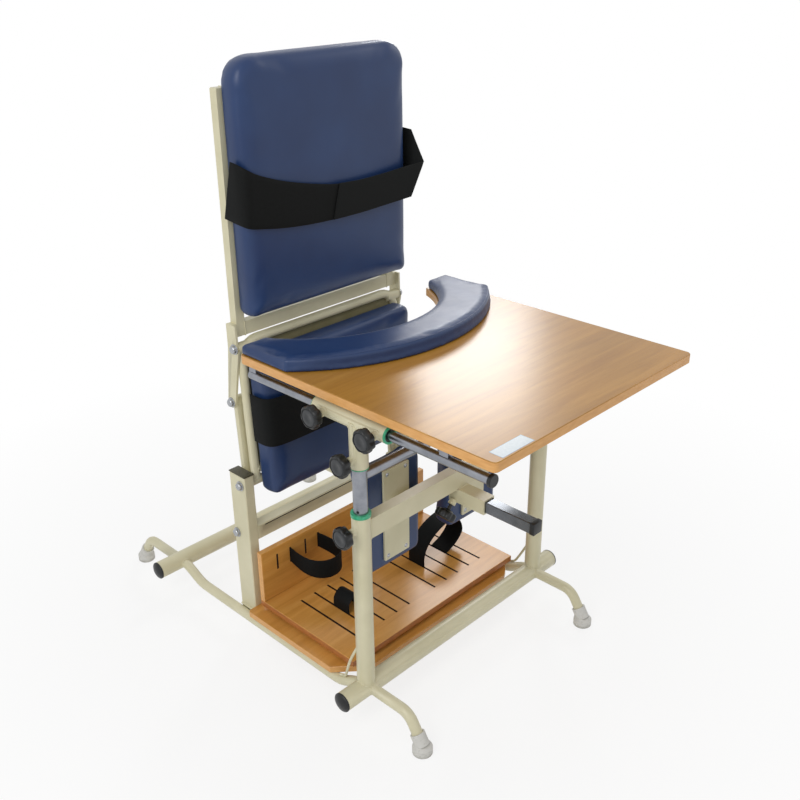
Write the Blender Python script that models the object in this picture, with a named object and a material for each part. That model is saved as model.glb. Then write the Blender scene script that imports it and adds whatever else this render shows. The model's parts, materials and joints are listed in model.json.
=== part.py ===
"""Sit-to-stand frame: a steel base with boards, a lifting table, a knee support, and a seat and a back
that swing together on a parallel linkage.

Metres, +Z up. The user stands on the boards facing -Y, with +X on the left hand. The origin is on the
floor, in the middle of the box round the whole object.
"""
import math

import bmesh
import bpy
from mathutils import Matrix, Vector

GAP = 0.0003
SIDES = (("left", 1), ("right", -1))

# Base frame
CROSSBAR_R = 0.025
CROSSBAR_Z = 0.093
CROSSBAR_HALF = 0.425
PLUG_LENGTH = 0.010
FRONT_BAR_Y = -0.310
REAR_BAR_Y = 0.480
FOOT_R = 0.014
FOOT_BEND = 0.045
FOOT_SLOPE = math.radians(58.0)
FOOT_END_Z = 0.022
FRONT_TIP = (0.331, -0.495)
REAR_TIP = (0.338, 0.683)
TIP_R = 0.025
TIP_HEIGHT = 0.027
TIP_COLLAR_R = 0.0185
RAIL_R = 0.0135
RAIL_X = 0.337
RAIL_Z = 0.058
RAIL_LOW_Y = (-0.205, 0.360)

# Front posts, the bar between them and the chrome posts inside them
POST_X = 0.335
POST_Y = -0.310
POST_R = 0.0225
POST_TOP = 0.586
POST_BORE_BOTTOM = 0.316
BRACE_R = 0.0035
BRACE_TOP = (0.349, -0.299, 0.216)
BRACE_BOW = (0.359, -0.281, 0.170)
BRACE_LOW = (0.345, -0.247, 0.0965)
BRACE_FOOT_Y = (-0.234, -0.220)
COLLAR_R = 0.024
COLLAR_TOP = 0.595
BAR_HALF = 0.015
BAR_Z = (0.522, 0.574)
INNER_R = 0.017
INNER_Z = (0.400, 0.790)
INNER_BORE_PLAY = 0.0005
LOCK_HOLE_R = 0.0035
LOCK_HOLE_Z = 0.603
CROSS_TUBE_R = 0.0145
CROSS_TUBE_Z = 0.689

# Boards to stand on and the straps through them
BOARD = 0.018
LOWER_TOP = 0.090
LOWER_X = 0.350
LOWER_Y = (-0.265, 0.1427)
LOWER_FRONT_X = 0.262
LOWER_CUT = (0.285, 0.013)
LOWER_CUT_END_Y = -0.192
LOWER_REAR_CUT = 0.006
UPPER_TOP = 0.120
UPPER_X = 0.318
UPPER_Y = (-0.246, 0.123)
BATTEN_X = (-0.250, 0.0, 0.250)
BATTEN_HALF = 0.020
BATTEN_DEPTH = 0.025
BATTEN_INSET = (0.021, 0.028)
SLOT_FIRST_X = 0.052
SLOT_PITCH = 0.048
SLOT_HALF = 0.003
SLOT_Y = (-0.187, 0.040)
HEEL_Y = (0.105, 0.123)
HEEL_TOP = 0.275
HEEL_SLOT_X = (0.118, 0.165, 0.219, 0.265)
HEEL_SLOT_Z = (0.204, 0.252)
STRAP = 0.003
HEEL_STRAP_REACH = 0.100
TOE_STRAP_Y = -0.101
TOE_STRAP_WIDTH = 0.060

# Rear posts and the parallel linkage, as (y, z) of each axis
REAR_POST_X = (0.2927, 0.3232)
REAR_POST_Y = (0.143, 0.207)
REAR_POST_TOP = 0.495
TIE_Y = (0.144, 0.178)
TIE_Z = (0.294, 0.336)
SEAT_PIVOT = (0.162, 0.467)
LINK_PIVOT = (0.194, 0.311)
BACK_PIVOT = (0.180, 0.838)
LINK_OFFSET = (LINK_PIVOT[0] - SEAT_PIVOT[0], LINK_PIVOT[1] - SEAT_PIVOT[1])
LINK_TOP = (BACK_PIVOT[0] + LINK_OFFSET[0], BACK_PIVOT[1] + LINK_OFFSET[1])
LINK_X = 0.271
TUBE_R = 0.0125
EYE_R = 0.014
EYE_INNER_X = 0.2565
PIN_R = 0.006
PIN_INNER_X = 0.254
WASHER_R = 0.0115
WASHER = 0.002
BOLT_HEAD_R = 0.0095
BOLT_HEAD = 0.0095
LUG_X = (0.2845, 0.2905)
LUG_HALF = 0.015

# Seat and back
SEAT_TOP = 0.850
SEAT_CORNER = 0.050
SEAT_LOW_TUBE_Z = 0.497
PANEL = 0.003
HIP_HALF = 0.272
HIP_Z = (0.432, 0.830)
HIP_THICK = 0.0635
HIP_STRAP_Z = 0.588
HIP_STRAP_WIDTH = 0.132
BACK_HALF = 0.275
BACK_Y = (0.113, 0.183)
BACK_Z = (0.918, 1.535)
BACK_FRAME_Y = (0.1833, 0.208)
BACK_FRAME_Z = (0.8645, 0.900, 1.460)
CHEST_STRAP_Z = 1.145
CHEST_STRAP_WIDTH = 0.125

# Table and the tees that carry it
TABLE_HALF = 0.361
TABLE_Y = (-0.708, 0.064)
TABLE_Z = (0.857, 0.880)
TABLE_CORNER = 0.013
HORN_CORNER = 0.012
CUT_R = 0.306
CUT_Y = 0.175
ELBOW_TOP = 0.906
ELBOW_RISE = 0.014
ELBOW_R = 0.494
ELBOW_Y = 0.236
TABLE_RAIL_R = 0.011
TABLE_RAIL_Z = 0.823
TABLE_RAIL_FRONT = {"left": -0.600, "right": -0.686}
TABLE_RAIL_REAR = 0.057
RAIL_CAP_R = 0.0145
RAIL_CAP = 0.009
SADDLE_Y = (-0.575, 0.030)
SADDLE = 0.024
SADDLE_HALF = 0.008
SLEEVE_R = 0.020
SLEEVE_Y = (-0.405, -0.181)
TEE_R = 0.0215
TEE_Z = 0.712

# Knee support
ARM_HALF = 0.015
ARM_Z = 0.503
ARM_Y = (-0.556, -0.2673)
ARM_SLEEVE_HALF = 0.0195
ARM_SLEEVE_Y = (-0.409, -0.296)
ARM_BOSS_FROM_AXIS = (0.0235, 0.0375)
KNEE_BAR_Y = (-0.267, -0.237)
KNEE_BAR_HALF = 0.150
KNEE_BAR_HALF_HEIGHT = 0.0175
KNEE_PLATE_X = (0.103, 0.190)
KNEE_PLATE_Z = (0.353, 0.608)
KNEE_PLATE = 0.005
KNEE_PAD_X = (0.055, 0.250)
KNEE_PAD_Y = (-0.2317, -0.168)
KNEE_PAD_Z = (0.328, 0.620)

# Clamp knobs
KNOB_R = 0.0265
KNOB_THICK = 0.022
KNOB_LOBES = 7
KNOB_STEM_R = 0.005
BOSS_R = 0.010
BOSS = 0.012
RAIL_KNOB_Y = (("rear", -0.222), ("front", -0.385))
TEE_KNOB_Z = 0.735
POST_KNOB_Z = 0.552

# Finishes: colour, metallic, roughness
PAINT = ((0.66, 0.62, 0.42), 0.0, 0.4)
CHROME = ((0.78, 0.78, 0.80), 1.0, 0.15)
WOOD = ((0.63, 0.36, 0.13), 0.0, 0.4)
VINYL = ((0.030, 0.060, 0.140), 0.0, 0.4)
WEBBING = ((0.012, 0.012, 0.013), 0.0, 0.8)
BLACK = ((0.020, 0.020, 0.022), 0.0, 0.45)
GREEN = ((0.05, 0.42, 0.20), 0.0, 0.4)
WHITE = ((0.68, 0.68, 0.66), 0.0, 0.5)


def clear_scene():
    for item in list(bpy.data.objects):
        bpy.data.objects.remove(item, do_unlink=True)


def finish(name, shape, look):
    """Give a shape its node name and a material of its own."""
    colour, metallic, roughness = look
    skin = bpy.data.materials.new(name)
    skin.use_nodes = True
    shader = skin.node_tree.nodes["Principled BSDF"]
    shader.inputs["Base Color"].default_value = (*colour, 1.0)
    shader.inputs["Metallic"].default_value = metallic
    shader.inputs["Roughness"].default_value = roughness
    shape.name = name
    shape.data.name = name
    shape.data.materials.clear()
    shape.data.materials.append(skin)
    shape.data.shade_smooth()
    shape.data.set_sharp_from_angle(angle=math.radians(30.0))
    return shape


def from_bmesh(bm):
    bmesh.ops.remove_doubles(bm, verts=bm.verts[:], dist=0.00001)
    bmesh.ops.recalc_face_normals(bm, faces=bm.faces[:])
    mesh = bpy.data.meshes.new("shape")
    bm.to_mesh(mesh)
    bm.free()
    shape = bpy.data.objects.new("shape", mesh)
    bpy.context.scene.collection.objects.link(shape)
    return shape


def blend(a, b, share):
    return a + (b - a) * share


def span(side, inner, outer):
    """A stretch of X given for the left side, put on either side in rising order."""
    return tuple(sorted((side * inner, side * outer)))


def rotate_to(axis):
    return Vector((0, 0, 1)).rotation_difference(Vector(axis)).to_matrix().to_4x4()


def box(x, y, z, bevel=0.0):
    """Box between pairs of limits, its edges broken by a small flat bevel."""
    centre = Vector([(low + high) / 2 for low, high in (x, y, z)])
    size = [high - low for low, high in (x, y, z)]
    bm = bmesh.new()
    bmesh.ops.create_cube(bm, size=1.0, matrix=Matrix.Translation(centre) @ Matrix.Diagonal((*size, 1.0)))
    if bevel:
        bmesh.ops.bevel(bm, geom=bm.edges[:], offset=bevel, segments=1, profile=0.5, affect="EDGES",
                        material=-1)
    return from_bmesh(bm)


def rod(start, end, radius, sides=20):
    start = Vector(start)
    along = Vector(end) - start
    bm = bmesh.new()
    place = Matrix.Translation(start + along / 2) @ rotate_to(along)
    bmesh.ops.create_cone(bm, cap_ends=True, segments=sides, radius1=radius, radius2=radius,
                          depth=along.length, matrix=place)
    return from_bmesh(bm)


def turned(centre, axis, profile, sides=20):
    """Solid of revolution from (distance along the axis, radius) places, closed on the axis at both ends."""
    bm = bmesh.new()
    places = [(profile[0][0], 0.0)] + list(profile) + [(profile[-1][0], 0.0)]
    verts = [bm.verts.new((radius, 0.0, along)) for along, radius in places]
    edges = [bm.edges.new(pair) for pair in zip(verts, verts[1:])]
    bmesh.ops.spin(bm, geom=verts + edges, cent=(0, 0, 0), axis=(0, 0, 1), angle=2 * math.pi, steps=sides,
                   use_merge=True)
    bm.transform(Matrix.Translation(centre) @ rotate_to(axis))
    return from_bmesh(bm)


def tube(points, radius, resolution=4):
    """Round bar along a list of points, made from a curve with a round bevel and filled caps."""
    curve = bpy.data.curves.new("path", "CURVE")
    curve.dimensions = "3D"
    curve.bevel_depth = radius
    curve.bevel_resolution = resolution
    curve.use_fill_caps = True
    spline = curve.splines.new("POLY")
    spline.points.add(len(points) - 1)
    for spot, point in zip(spline.points, points):
        spot.co = (*point, 1.0)
    holder = bpy.data.objects.new("path", curve)
    bpy.context.scene.collection.objects.link(holder)
    graph = bpy.context.evaluated_depsgraph_get()
    mesh = bpy.data.meshes.new_from_object(holder.evaluated_get(graph))
    bpy.data.objects.remove(holder, do_unlink=True)
    bm = bmesh.new()
    bm.from_mesh(mesh)
    bpy.data.meshes.remove(mesh)
    return from_bmesh(bm)


def shift(bm, geometry, offset):
    verts = [item for item in geometry if isinstance(item, bmesh.types.BMVert)]
    bmesh.ops.translate(bm, vec=offset, verts=verts)


def plate(outline, low, high, axis, bevel=0.0, segments=1):
    """Outline extruded between two levels of an axis. Its points hold the two other axes, in order."""
    others = [index for index in range(3) if index != axis]
    bm = bmesh.new()
    verts = []
    for point in outline:
        place = [low, low, low]
        place[others[0]], place[others[1]] = point
        verts.append(bm.verts.new(place))
    base = bm.faces.new(verts)
    lift = Vector((0, 0, 0))
    lift[axis] = high - low
    shift(bm, bmesh.ops.extrude_face_region(bm, geom=[base])["geom"], lift)
    if bevel:
        rims = [edge for edge in bm.edges if abs(edge.verts[0].co[axis] - edge.verts[1].co[axis]) < 1e-6]
        bmesh.ops.bevel(bm, geom=rims, offset=bevel, segments=segments, profile=0.5, affect="EDGES",
                        material=-1)
    return from_bmesh(bm)


def arc(centre, radius, start, end, steps):
    """Places on an arc, from one angle in degrees to another."""
    places = []
    for step in range(steps + 1):
        turn = math.radians(blend(start, end, step / steps))
        places.append((centre[0] + radius * math.cos(turn), centre[1] + radius * math.sin(turn)))
    return places


def smooth(corners, steps):
    """Places along a smooth curve through its corners, with a number of steps from each one to the next."""
    ends = [Vector(place) for place in [corners[0]] + list(corners) + [corners[-1]]]
    places = []
    for before, start, end, after in zip(ends, ends[1:], ends[2:], ends[3:]):
        leaving = (end - before) / 2
        arriving = (after - start) / 2
        for step in range(steps):
            share = step / steps
            eased = share * share * (3.0 - 2.0 * share)
            bow = leaving * share * (1.0 - share) ** 2 - arriving * share ** 2 * (1.0 - share)
            places.append(tuple(start.lerp(end, eased) + bow))
    return places + [tuple(corners[-1])]


def rounded(a, b, low_radius, high_radius, steps=5):
    """Outline of a rectangle whose two lower and two upper corners are rounded."""
    outline = arc((a[0] + low_radius, b[0] + low_radius), low_radius, 180.0, 270.0, steps)
    outline += arc((a[1] - low_radius, b[0] + low_radius), low_radius, 270.0, 360.0, steps)
    outline += arc((a[1] - high_radius, b[1] - high_radius), high_radius, 0.0, 90.0, steps)
    outline += arc((a[0] + high_radius, b[1] - high_radius), high_radius, 90.0, 180.0, steps)
    return outline


def ribbon(name, path, across):
    """Strap: a path extruded across its width, with a live Solidify for its thickness."""
    bm = bmesh.new()
    verts = [bm.verts.new(place) for place in path]
    edges = [bm.edges.new(pair) for pair in zip(verts, verts[1:])]
    shift(bm, bmesh.ops.extrude_edge_only(bm, edges=edges)["geom"], across)
    strap = finish(name, from_bmesh(bm), WEBBING)
    thicken = strap.modifiers.new("thickness", "SOLIDIFY")
    thicken.thickness = STRAP
    thicken.offset = 0.0
    return strap


def combine(base, others, operation):
    """Apply exact Booleans one after another and remove their tools."""
    for other in others:
        modifier = base.modifiers.new("combine", "BOOLEAN")
        modifier.operation = operation
        modifier.solver = "EXACT"
        modifier.object = other
        graph = bpy.context.evaluated_depsgraph_get()
        solved = bpy.data.meshes.new_from_object(base.evaluated_get(graph))
        old = base.data
        base.modifiers.clear()
        base.data = solved
        bpy.data.meshes.remove(old)
        bpy.data.objects.remove(other, do_unlink=True)


def join(base, *others):
    combine(base, others, "UNION")


def cut(base, *others):
    combine(base, others, "DIFFERENCE")


def foot_path(x, bar_y, tip_y):
    """Centre line of a foot: level out of the crossbar, one bend, then straight down into its tip."""
    steps = 6
    out = math.copysign(1.0, tip_y - bar_y)
    bend_drop = FOOT_BEND * (1 - math.cos(FOOT_SLOPE))
    bend_run = FOOT_BEND * math.sin(FOOT_SLOPE)
    tail_run = (CROSSBAR_Z - FOOT_END_Z - bend_drop) / math.tan(FOOT_SLOPE)
    level = abs(tip_y - bar_y) - bend_run - tail_run
    path = [(x, bar_y, CROSSBAR_Z)]
    for step in range(steps + 1):
        turn = FOOT_SLOPE * step / steps
        path.append((x, bar_y + out * (level + FOOT_BEND * math.sin(turn)),
                     CROSSBAR_Z - FOOT_BEND * (1 - math.cos(turn))))
    path.append((x, tip_y, FOOT_END_Z))
    return path


def crossbar(end_name, bar_y, tip):
    """Crossbar with a plug in each end and its two feet, and the rubber tips under the feet."""
    plug = [(0.0, 0.010), (0.004, 0.020), (PLUG_LENGTH, CROSSBAR_R)]
    far_plug = [(2 * CROSSBAR_HALF - along, radius) for along, radius in reversed(plug)]
    bar = turned((-CROSSBAR_HALF, bar_y, CROSSBAR_Z), (1, 0, 0), plug + far_plug, 24)
    join(bar, *[tube(foot_path(side * tip[0], bar_y, tip[1]), FOOT_R) for label, side in SIDES])
    finish("crossbar_" + end_name, bar, PAINT)
    for label, side in SIDES:
        path = [Vector(place) for place in foot_path(side * tip[0], bar_y, tip[1])]
        up = (path[-2] - path[-1]).normalized()
        cap = turned((side * tip[0], tip[1], 0.0), (0, 0, 1),
                     [(0.0, TIP_R - 0.002), (0.002, TIP_R), (0.019, TIP_R), (TIP_HEIGHT, TIP_R - 0.006)])
        join(cap, rod(path[-1], path[-1] + up * 0.032, TIP_COLLAR_R))
        cut(cap, rod(path[-1] - up * 0.0015, path[-1] + up * 0.050, FOOT_R + GAP))
        finish("foot_tip_" + end_name + "_" + label, cap, WHITE)


def rail_height(y):
    """Height of a side rail's centre line: low under the boards, eased up to the crossbars."""
    share = 0.0
    if y < RAIL_LOW_Y[0]:
        share = (RAIL_LOW_Y[0] - y) / (RAIL_LOW_Y[0] - FRONT_BAR_Y)
    if y > RAIL_LOW_Y[1]:
        share = (y - RAIL_LOW_Y[1]) / (REAR_BAR_Y - RAIL_LOW_Y[1])
    return blend(RAIL_Z, CROSSBAR_Z - 0.003, 0.5 - 0.5 * math.cos(math.pi * min(1.15 * share, 1.0)))


def brace_rest(y):
    """Height at which a brace's centre line lies on the sloping top of a side rail."""
    slope = (rail_height(y + 0.001) - rail_height(y - 0.001)) / 0.002
    return rail_height(y) + (RAIL_R + BRACE_R + GAP) * math.sqrt(1 + slope * slope)


def side_rails():
    steps = 8
    front = [blend(FRONT_BAR_Y, RAIL_LOW_Y[0], step / steps) for step in range(steps + 1)]
    rear = [blend(RAIL_LOW_Y[1], REAR_BAR_Y, step / steps) for step in range(steps + 1)]
    for label, side in SIDES:
        x = side * RAIL_X
        rail = tube([(x, y, rail_height(y)) for y in front + rear], RAIL_R)
        for bar_y in (FRONT_BAR_Y, REAR_BAR_Y):
            cut(rail, rod((x - 0.05, bar_y, CROSSBAR_Z), (x + 0.05, bar_y, CROSSBAR_Z), CROSSBAR_R + GAP, 24))
        finish("side_rail_" + label, rail, PAINT)


def front_posts():
    """Front posts, each with a knob boss and a thin brace that bends down to the side rail."""
    for label, side in SIDES:
        x = side * POST_X
        post = rod((x, POST_Y, CROSSBAR_Z), (x, POST_Y, POST_TOP), POST_R, 28)
        boss = rod((x, POST_Y, POST_KNOB_Z), (x + side * (POST_R + BOSS), POST_Y, POST_KNOB_Z), BOSS_R, 16)
        foot = [(RAIL_X + 0.003, y, brace_rest(y)) for y in BRACE_FOOT_Y]
        brace = smooth([BRACE_TOP, BRACE_BOW, BRACE_LOW] + foot[:1], 4) + foot[1:]
        join(post, boss, tube([(side * a, b, c) for a, b, c in brace], BRACE_R, 3))
        foot_x = side * FRONT_TIP[0]
        rail_start = [(side * RAIL_X, y, rail_height(y)) for y in (POST_Y, -0.295, -0.280, -0.265)]
        cut(post, rod((x - 0.06, POST_Y, CROSSBAR_Z), (x + 0.06, POST_Y, CROSSBAR_Z), CROSSBAR_R + GAP, 24),
            rod((foot_x, POST_Y, CROSSBAR_Z), (foot_x, POST_Y - 0.06, CROSSBAR_Z), FOOT_R + GAP),
            tube(rail_start, RAIL_R + GAP),
            rod((x, POST_Y, POST_BORE_BOTTOM), (x, POST_Y, POST_TOP + 0.01), INNER_R + INNER_BORE_PLAY))
        finish("front_post_" + label, post, PAINT)
        collar = rod((x, POST_Y, POST_TOP + GAP), (x, POST_Y, COLLAR_TOP), COLLAR_R)
        cut(collar, rod((x, POST_Y, POST_TOP - 0.01), (x, POST_Y, COLLAR_TOP + 0.01), INNER_R + GAP))
        finish("collar_" + label, collar, GREEN)


def below_arm(distance):
    """Place on the line that leaves the knee arm's axis at 45 degrees, down and to the right."""
    reach = distance * math.sqrt(0.5)
    return -reach, POST_Y, ARM_Z - reach


def middle_bar():
    """Bar between the front posts, the knee-arm sleeve under it and a boss on the sleeve's lower edge."""
    sleeve_z = (ARM_Z - ARM_SLEEVE_HALF, ARM_Z + ARM_SLEEVE_HALF)
    bar = box((-POST_X, POST_X), (POST_Y - BAR_HALF, POST_Y + BAR_HALF), BAR_Z)
    sleeve = box((-ARM_SLEEVE_HALF, ARM_SLEEVE_HALF), ARM_SLEEVE_Y, sleeve_z)
    start, end = ARM_BOSS_FROM_AXIS
    join(bar, sleeve, rod(below_arm(start), below_arm(end), BOSS_R, 16))
    bore = ARM_HALF + 0.0005
    cut(bar, box((-bore, bore), (ARM_SLEEVE_Y[0] - 0.01, POST_Y + 0.05), (ARM_Z - bore, ARM_Z + bore)))
    for label, side in SIDES:
        cut(bar, rod((side * POST_X, POST_Y, 0.5), (side * POST_X, POST_Y, 0.62), POST_R + GAP, 28))
    finish("middle_bar", bar, PAINT)


def boards():
    """Lower board with its front corners cut off, slotted foot board on battens, and slotted heel board."""
    front, rear = LOWER_Y
    corner = [(LOWER_FRONT_X, front), (LOWER_CUT[0], front + LOWER_CUT[1]), (LOWER_X, LOWER_CUT_END_Y)]
    corner += [(LOWER_X, rear - LOWER_REAR_CUT), (LOWER_X - LOWER_REAR_CUT, rear)]
    outline = corner + [(-x, y) for x, y in reversed(corner)]
    finish("lower_board", plate(outline, LOWER_TOP - BOARD, LOWER_TOP, 2, 0.001), WOOD)

    upper = box((-UPPER_X, UPPER_X), UPPER_Y, (UPPER_TOP - BOARD, UPPER_TOP), 0.001)
    for x in BATTEN_X:
        for y in (UPPER_Y[0] + BATTEN_INSET[0], UPPER_Y[1] - BATTEN_INSET[1]):
            batten = box((x - BATTEN_HALF, x + BATTEN_HALF), (y, y + BATTEN_DEPTH),
                         (LOWER_TOP + GAP, UPPER_TOP - BOARD + 0.001))
            join(upper, batten)
    for label, side in SIDES:
        for index in range(5):
            x = side * (SLOT_FIRST_X + SLOT_PITCH * index)
            cut(upper, box((x - SLOT_HALF, x + SLOT_HALF), SLOT_Y, (0.095, 0.130)))
    finish("foot_board", upper, WOOD)

    heel = box((-UPPER_X, UPPER_X), HEEL_Y, (UPPER_TOP + GAP, HEEL_TOP), 0.001)
    for label, side in SIDES:
        for x in HEEL_SLOT_X:
            cut(heel, box((side * x - SLOT_HALF, side * x + SLOT_HALF), (HEEL_Y[0] - 0.01, HEEL_Y[1] + 0.01),
                          HEEL_SLOT_Z))
    finish("heel_board", heel, WOOD)


def foot_straps():
    """Heel straps looped through the heel board, and toe straps arched up out of the foot board."""
    arch = UPPER_TOP + 0.002
    toe_paths = {"left": [(0.196, arch), (0.236, 0.138), (0.265, 0.168), (0.252, 0.210), (0.215, 0.229),
                          (0.160, 0.216), (0.118, 0.187), (0.101, 0.155), (0.100, arch)],
                 "right": [(0.196, arch), (0.194, 0.150), (0.172, 0.167), (0.150, 0.150), (0.148, arch)]}
    for label, side in SIDES:
        inner, outer = HEEL_SLOT_X[0], HEEL_SLOT_X[2]
        low = HEEL_SLOT_Z[0] + 0.001
        path = [(side * outer, HEEL_Y[1] + 0.004, low)]
        for step in range(15):
            turn = math.pi * step / 14
            reach = math.sin(turn) ** 0.7
            x = blend(inner, outer, 0.5 + 0.5 * math.cos(turn))
            path.append((side * x, HEEL_Y[0] - 0.002 - HEEL_STRAP_REACH * reach, low - 0.020 * reach))
        path.append((side * inner, HEEL_Y[1] + 0.004, low))
        ribbon("heel_strap_" + label, path, (0, 0, HEEL_SLOT_Z[1] - HEEL_SLOT_Z[0] - 0.002))

        corners = toe_paths[label]
        bottom = UPPER_TOP - BOARD + 0.002
        path = [(corners[0][0], bottom)] + smooth(corners, 3) + [(corners[-1][0], bottom)]
        ribbon("toe_strap_" + label, [(side * x, TOE_STRAP_Y, z) for x, z in path], (0, TOE_STRAP_WIDTH, 0))


def bolt_head(side, x, pivot):
    """Washer and bolt head against a face at x."""
    chamfer = 0.0012
    profile = [(0.0, WASHER_R), (WASHER, WASHER_R), (WASHER + GAP, BOLT_HEAD_R)]
    profile += [(BOLT_HEAD - chamfer, BOLT_HEAD_R), (BOLT_HEAD, BOLT_HEAD_R - chamfer)]
    return turned((side * x, *pivot), (side, 0, 0), profile, 12)


def rear_posts():
    for label, side in SIDES:
        post = box(span(side, *REAR_POST_X), REAR_POST_Y, (RAIL_Z - RAIL_R, REAR_POST_TOP), 0.002)
        for pivot in (SEAT_PIVOT, LINK_PIVOT):
            cut(post, rod((side * 0.28, *pivot), (side * 0.34, *pivot), PIN_R + GAP, 16))
        finish("rear_post_" + label, post, PAINT)
        for name, pivot in (("seat_bolt_", SEAT_PIVOT), ("link_bolt_", LINK_PIVOT)):
            bolt = rod((side * PIN_INNER_X, *pivot), (side * (REAR_POST_X[1] + 0.004), *pivot), PIN_R, 16)
            join(bolt, bolt_head(side, REAR_POST_X[1] + GAP, pivot))
            finish(name + label, bolt, CHROME)

    half = REAR_POST_X[0] - GAP
    tie = box((-half, half), TIE_Y, TIE_Z, 0.002)
    slot_half = half - 0.025
    slot_z = (TIE_Z[1] - 0.007, TIE_Z[1] - 0.004)
    cut(tie, box((-slot_half, slot_half), (TIE_Y[0] - 0.005, TIE_Y[0] + 0.004), slot_z))
    finish("rear_tie", tie, PAINT)


def seat_y(z):
    """Y of the seat frame's centre line, which leans through both of its pivots."""
    return blend(SEAT_PIVOT[0], BACK_PIVOT[0], (z - SEAT_PIVOT[1]) / (BACK_PIVOT[1] - SEAT_PIVOT[1]))


def eye(side, pivot, inner, outer):
    return rod((side * inner, *pivot), (side * outer, *pivot), EYE_R)


def pin_hole(side, pivot):
    return rod((side * (LINK_X - 0.022), *pivot), (side * 0.32, *pivot), PIN_R + GAP, 16)


def seat():
    """Inverted U of tube with an eye at each pivot and a thin panel, the hip pad and its strap."""
    corner = arc((LINK_X - SEAT_CORNER, SEAT_TOP - SEAT_CORNER), SEAT_CORNER, 0.0, 90.0, 6)
    half = [(LINK_X, SEAT_PIVOT[1])] + corner
    outline = half + [(-x, z) for x, z in reversed(half)]
    frame = tube([(x, seat_y(z), z) for x, z in outline], TUBE_R)
    low = SEAT_LOW_TUBE_Z
    panel_top = SEAT_TOP - 0.004
    join(frame, rod((-LINK_X, seat_y(low), low), (LINK_X, seat_y(low), low), TUBE_R))
    panel_corner = SEAT_CORNER + 0.010
    half = arc((LINK_X - panel_corner, panel_top - panel_corner), panel_corner, 0.0, 90.0, 4)
    outline = half + [(-x, z) for x, z in reversed(half)] + [(-LINK_X, low), (LINK_X, low)]
    panel = plate(outline, -PANEL / 2, PANEL / 2, 1)
    for vert in panel.data.vertices:
        vert.co.y += seat_y(vert.co.z)
    join(frame, panel)
    for label, side in SIDES:
        join(frame, eye(side, SEAT_PIVOT, EYE_INNER_X, REAR_POST_X[0] - GAP),
             eye(side, BACK_PIVOT, EYE_INNER_X - 0.0155, LUG_X[0] - GAP))
        cut(frame, pin_hole(side, SEAT_PIVOT), pin_hole(side, BACK_PIVOT))
    finish("seat_frame", frame, PAINT)

    slope = (BACK_PIVOT[0] - SEAT_PIVOT[0]) / (BACK_PIVOT[1] - SEAT_PIVOT[1])
    clear = (EYE_R + GAP) * math.sqrt(1 + slope * slope)
    pad = plate(rounded((-HIP_HALF, HIP_HALF), HIP_Z, 0.022, 0.022), -HIP_THICK - clear, -clear, 1, 0.014, 2)
    for vert in pad.data.vertices:
        vert.co.y += seat_y(vert.co.z)
    finish("hip_pad", pad, VINYL)

    path = []
    face = seat_y(HIP_STRAP_Z) - clear - HIP_THICK
    for step in range(19):
        turn = math.pi * step / 18
        x = (HIP_HALF + 0.004) * math.copysign(abs(math.cos(turn)) ** 0.18, math.cos(turn))
        path.append((x, face + 0.056 - 0.071 * math.sin(turn) ** 0.35, HIP_STRAP_Z))
    ribbon("hip_strap", path, (0, slope * HIP_STRAP_WIDTH, HIP_STRAP_WIDTH))


def lug(side):
    """Flat bar from the back frame down past the seat pivot to the link's upper pivot."""
    down = math.degrees(math.atan2(LINK_TOP[1] - BACK_PIVOT[1], LINK_TOP[0] - BACK_PIVOT[0]))
    outline = [(BACK_FRAME_Y[1] - 0.001, BACK_FRAME_Z[1]), (BACK_FRAME_Y[0] - 0.012, BACK_FRAME_Z[1])]
    outline += arc(BACK_PIVOT, LUG_HALF, down - 55.0, down - 90.0, 2)
    outline += arc(LINK_TOP, LUG_HALF, down - 90.0, down + 90.0, 8)
    outline += [(BACK_FRAME_Y[1] - 0.001, BACK_FRAME_Z[0] - 0.030)]
    return plate(outline, *span(side, *LUG_X), 0)


def back():
    """Welded square-tube frame with a lug bar on each side, the back pad and the chest strap."""
    square = BACK_FRAME_Y[1] - BACK_FRAME_Y[0]
    low, bar_top, top = BACK_FRAME_Z
    reach = LUG_X[0] + 0.003
    frame = box((-reach, reach), BACK_FRAME_Y, (low, bar_top), 0.0015)
    join(frame, box((-BACK_HALF, BACK_HALF), BACK_FRAME_Y, (top - square, top), 0.0015))
    for label, side in SIDES:
        join(frame, box(span(side, BACK_HALF - square, BACK_HALF), BACK_FRAME_Y, (low + 0.002, top - 0.002)),
             lug(side))
        for pivot in (BACK_PIVOT, LINK_TOP):
            join(frame, rod((side * PIN_INNER_X, *pivot), (side * (LUG_X[1] + 0.002), *pivot), PIN_R, 16),
                 bolt_head(side, LUG_X[1] - 0.0005, pivot))
    finish("back_frame", frame, PAINT)

    pad = plate(rounded((-BACK_HALF, BACK_HALF), BACK_Z, 0.020, 0.065), *BACK_Y, 1, 0.020, 2)
    finish("back_pad", pad, VINYL)

    path = []
    for step in range(21):
        turn = math.pi * step / 20
        x = (BACK_HALF + 0.0035) * math.copysign(abs(math.cos(turn)) ** 0.22, math.cos(turn))
        path.append((x, 0.200 - 0.140 * math.sin(turn) ** 0.45, CHEST_STRAP_Z))
    ribbon("chest_strap", path, (0, 0, CHEST_STRAP_WIDTH))


def links():
    for label, side in SIDES:
        x = side * LINK_X
        link = rod((x, *LINK_PIVOT), (x, *LINK_TOP), TUBE_R)
        join(link, eye(side, LINK_PIVOT, EYE_INNER_X, REAR_POST_X[0] - GAP),
             eye(side, LINK_TOP, EYE_INNER_X, LUG_X[0] - GAP))
        cut(link, pin_hole(side, LINK_PIVOT), pin_hole(side, LINK_TOP))
        finish("link_" + label, link, PAINT)


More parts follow.
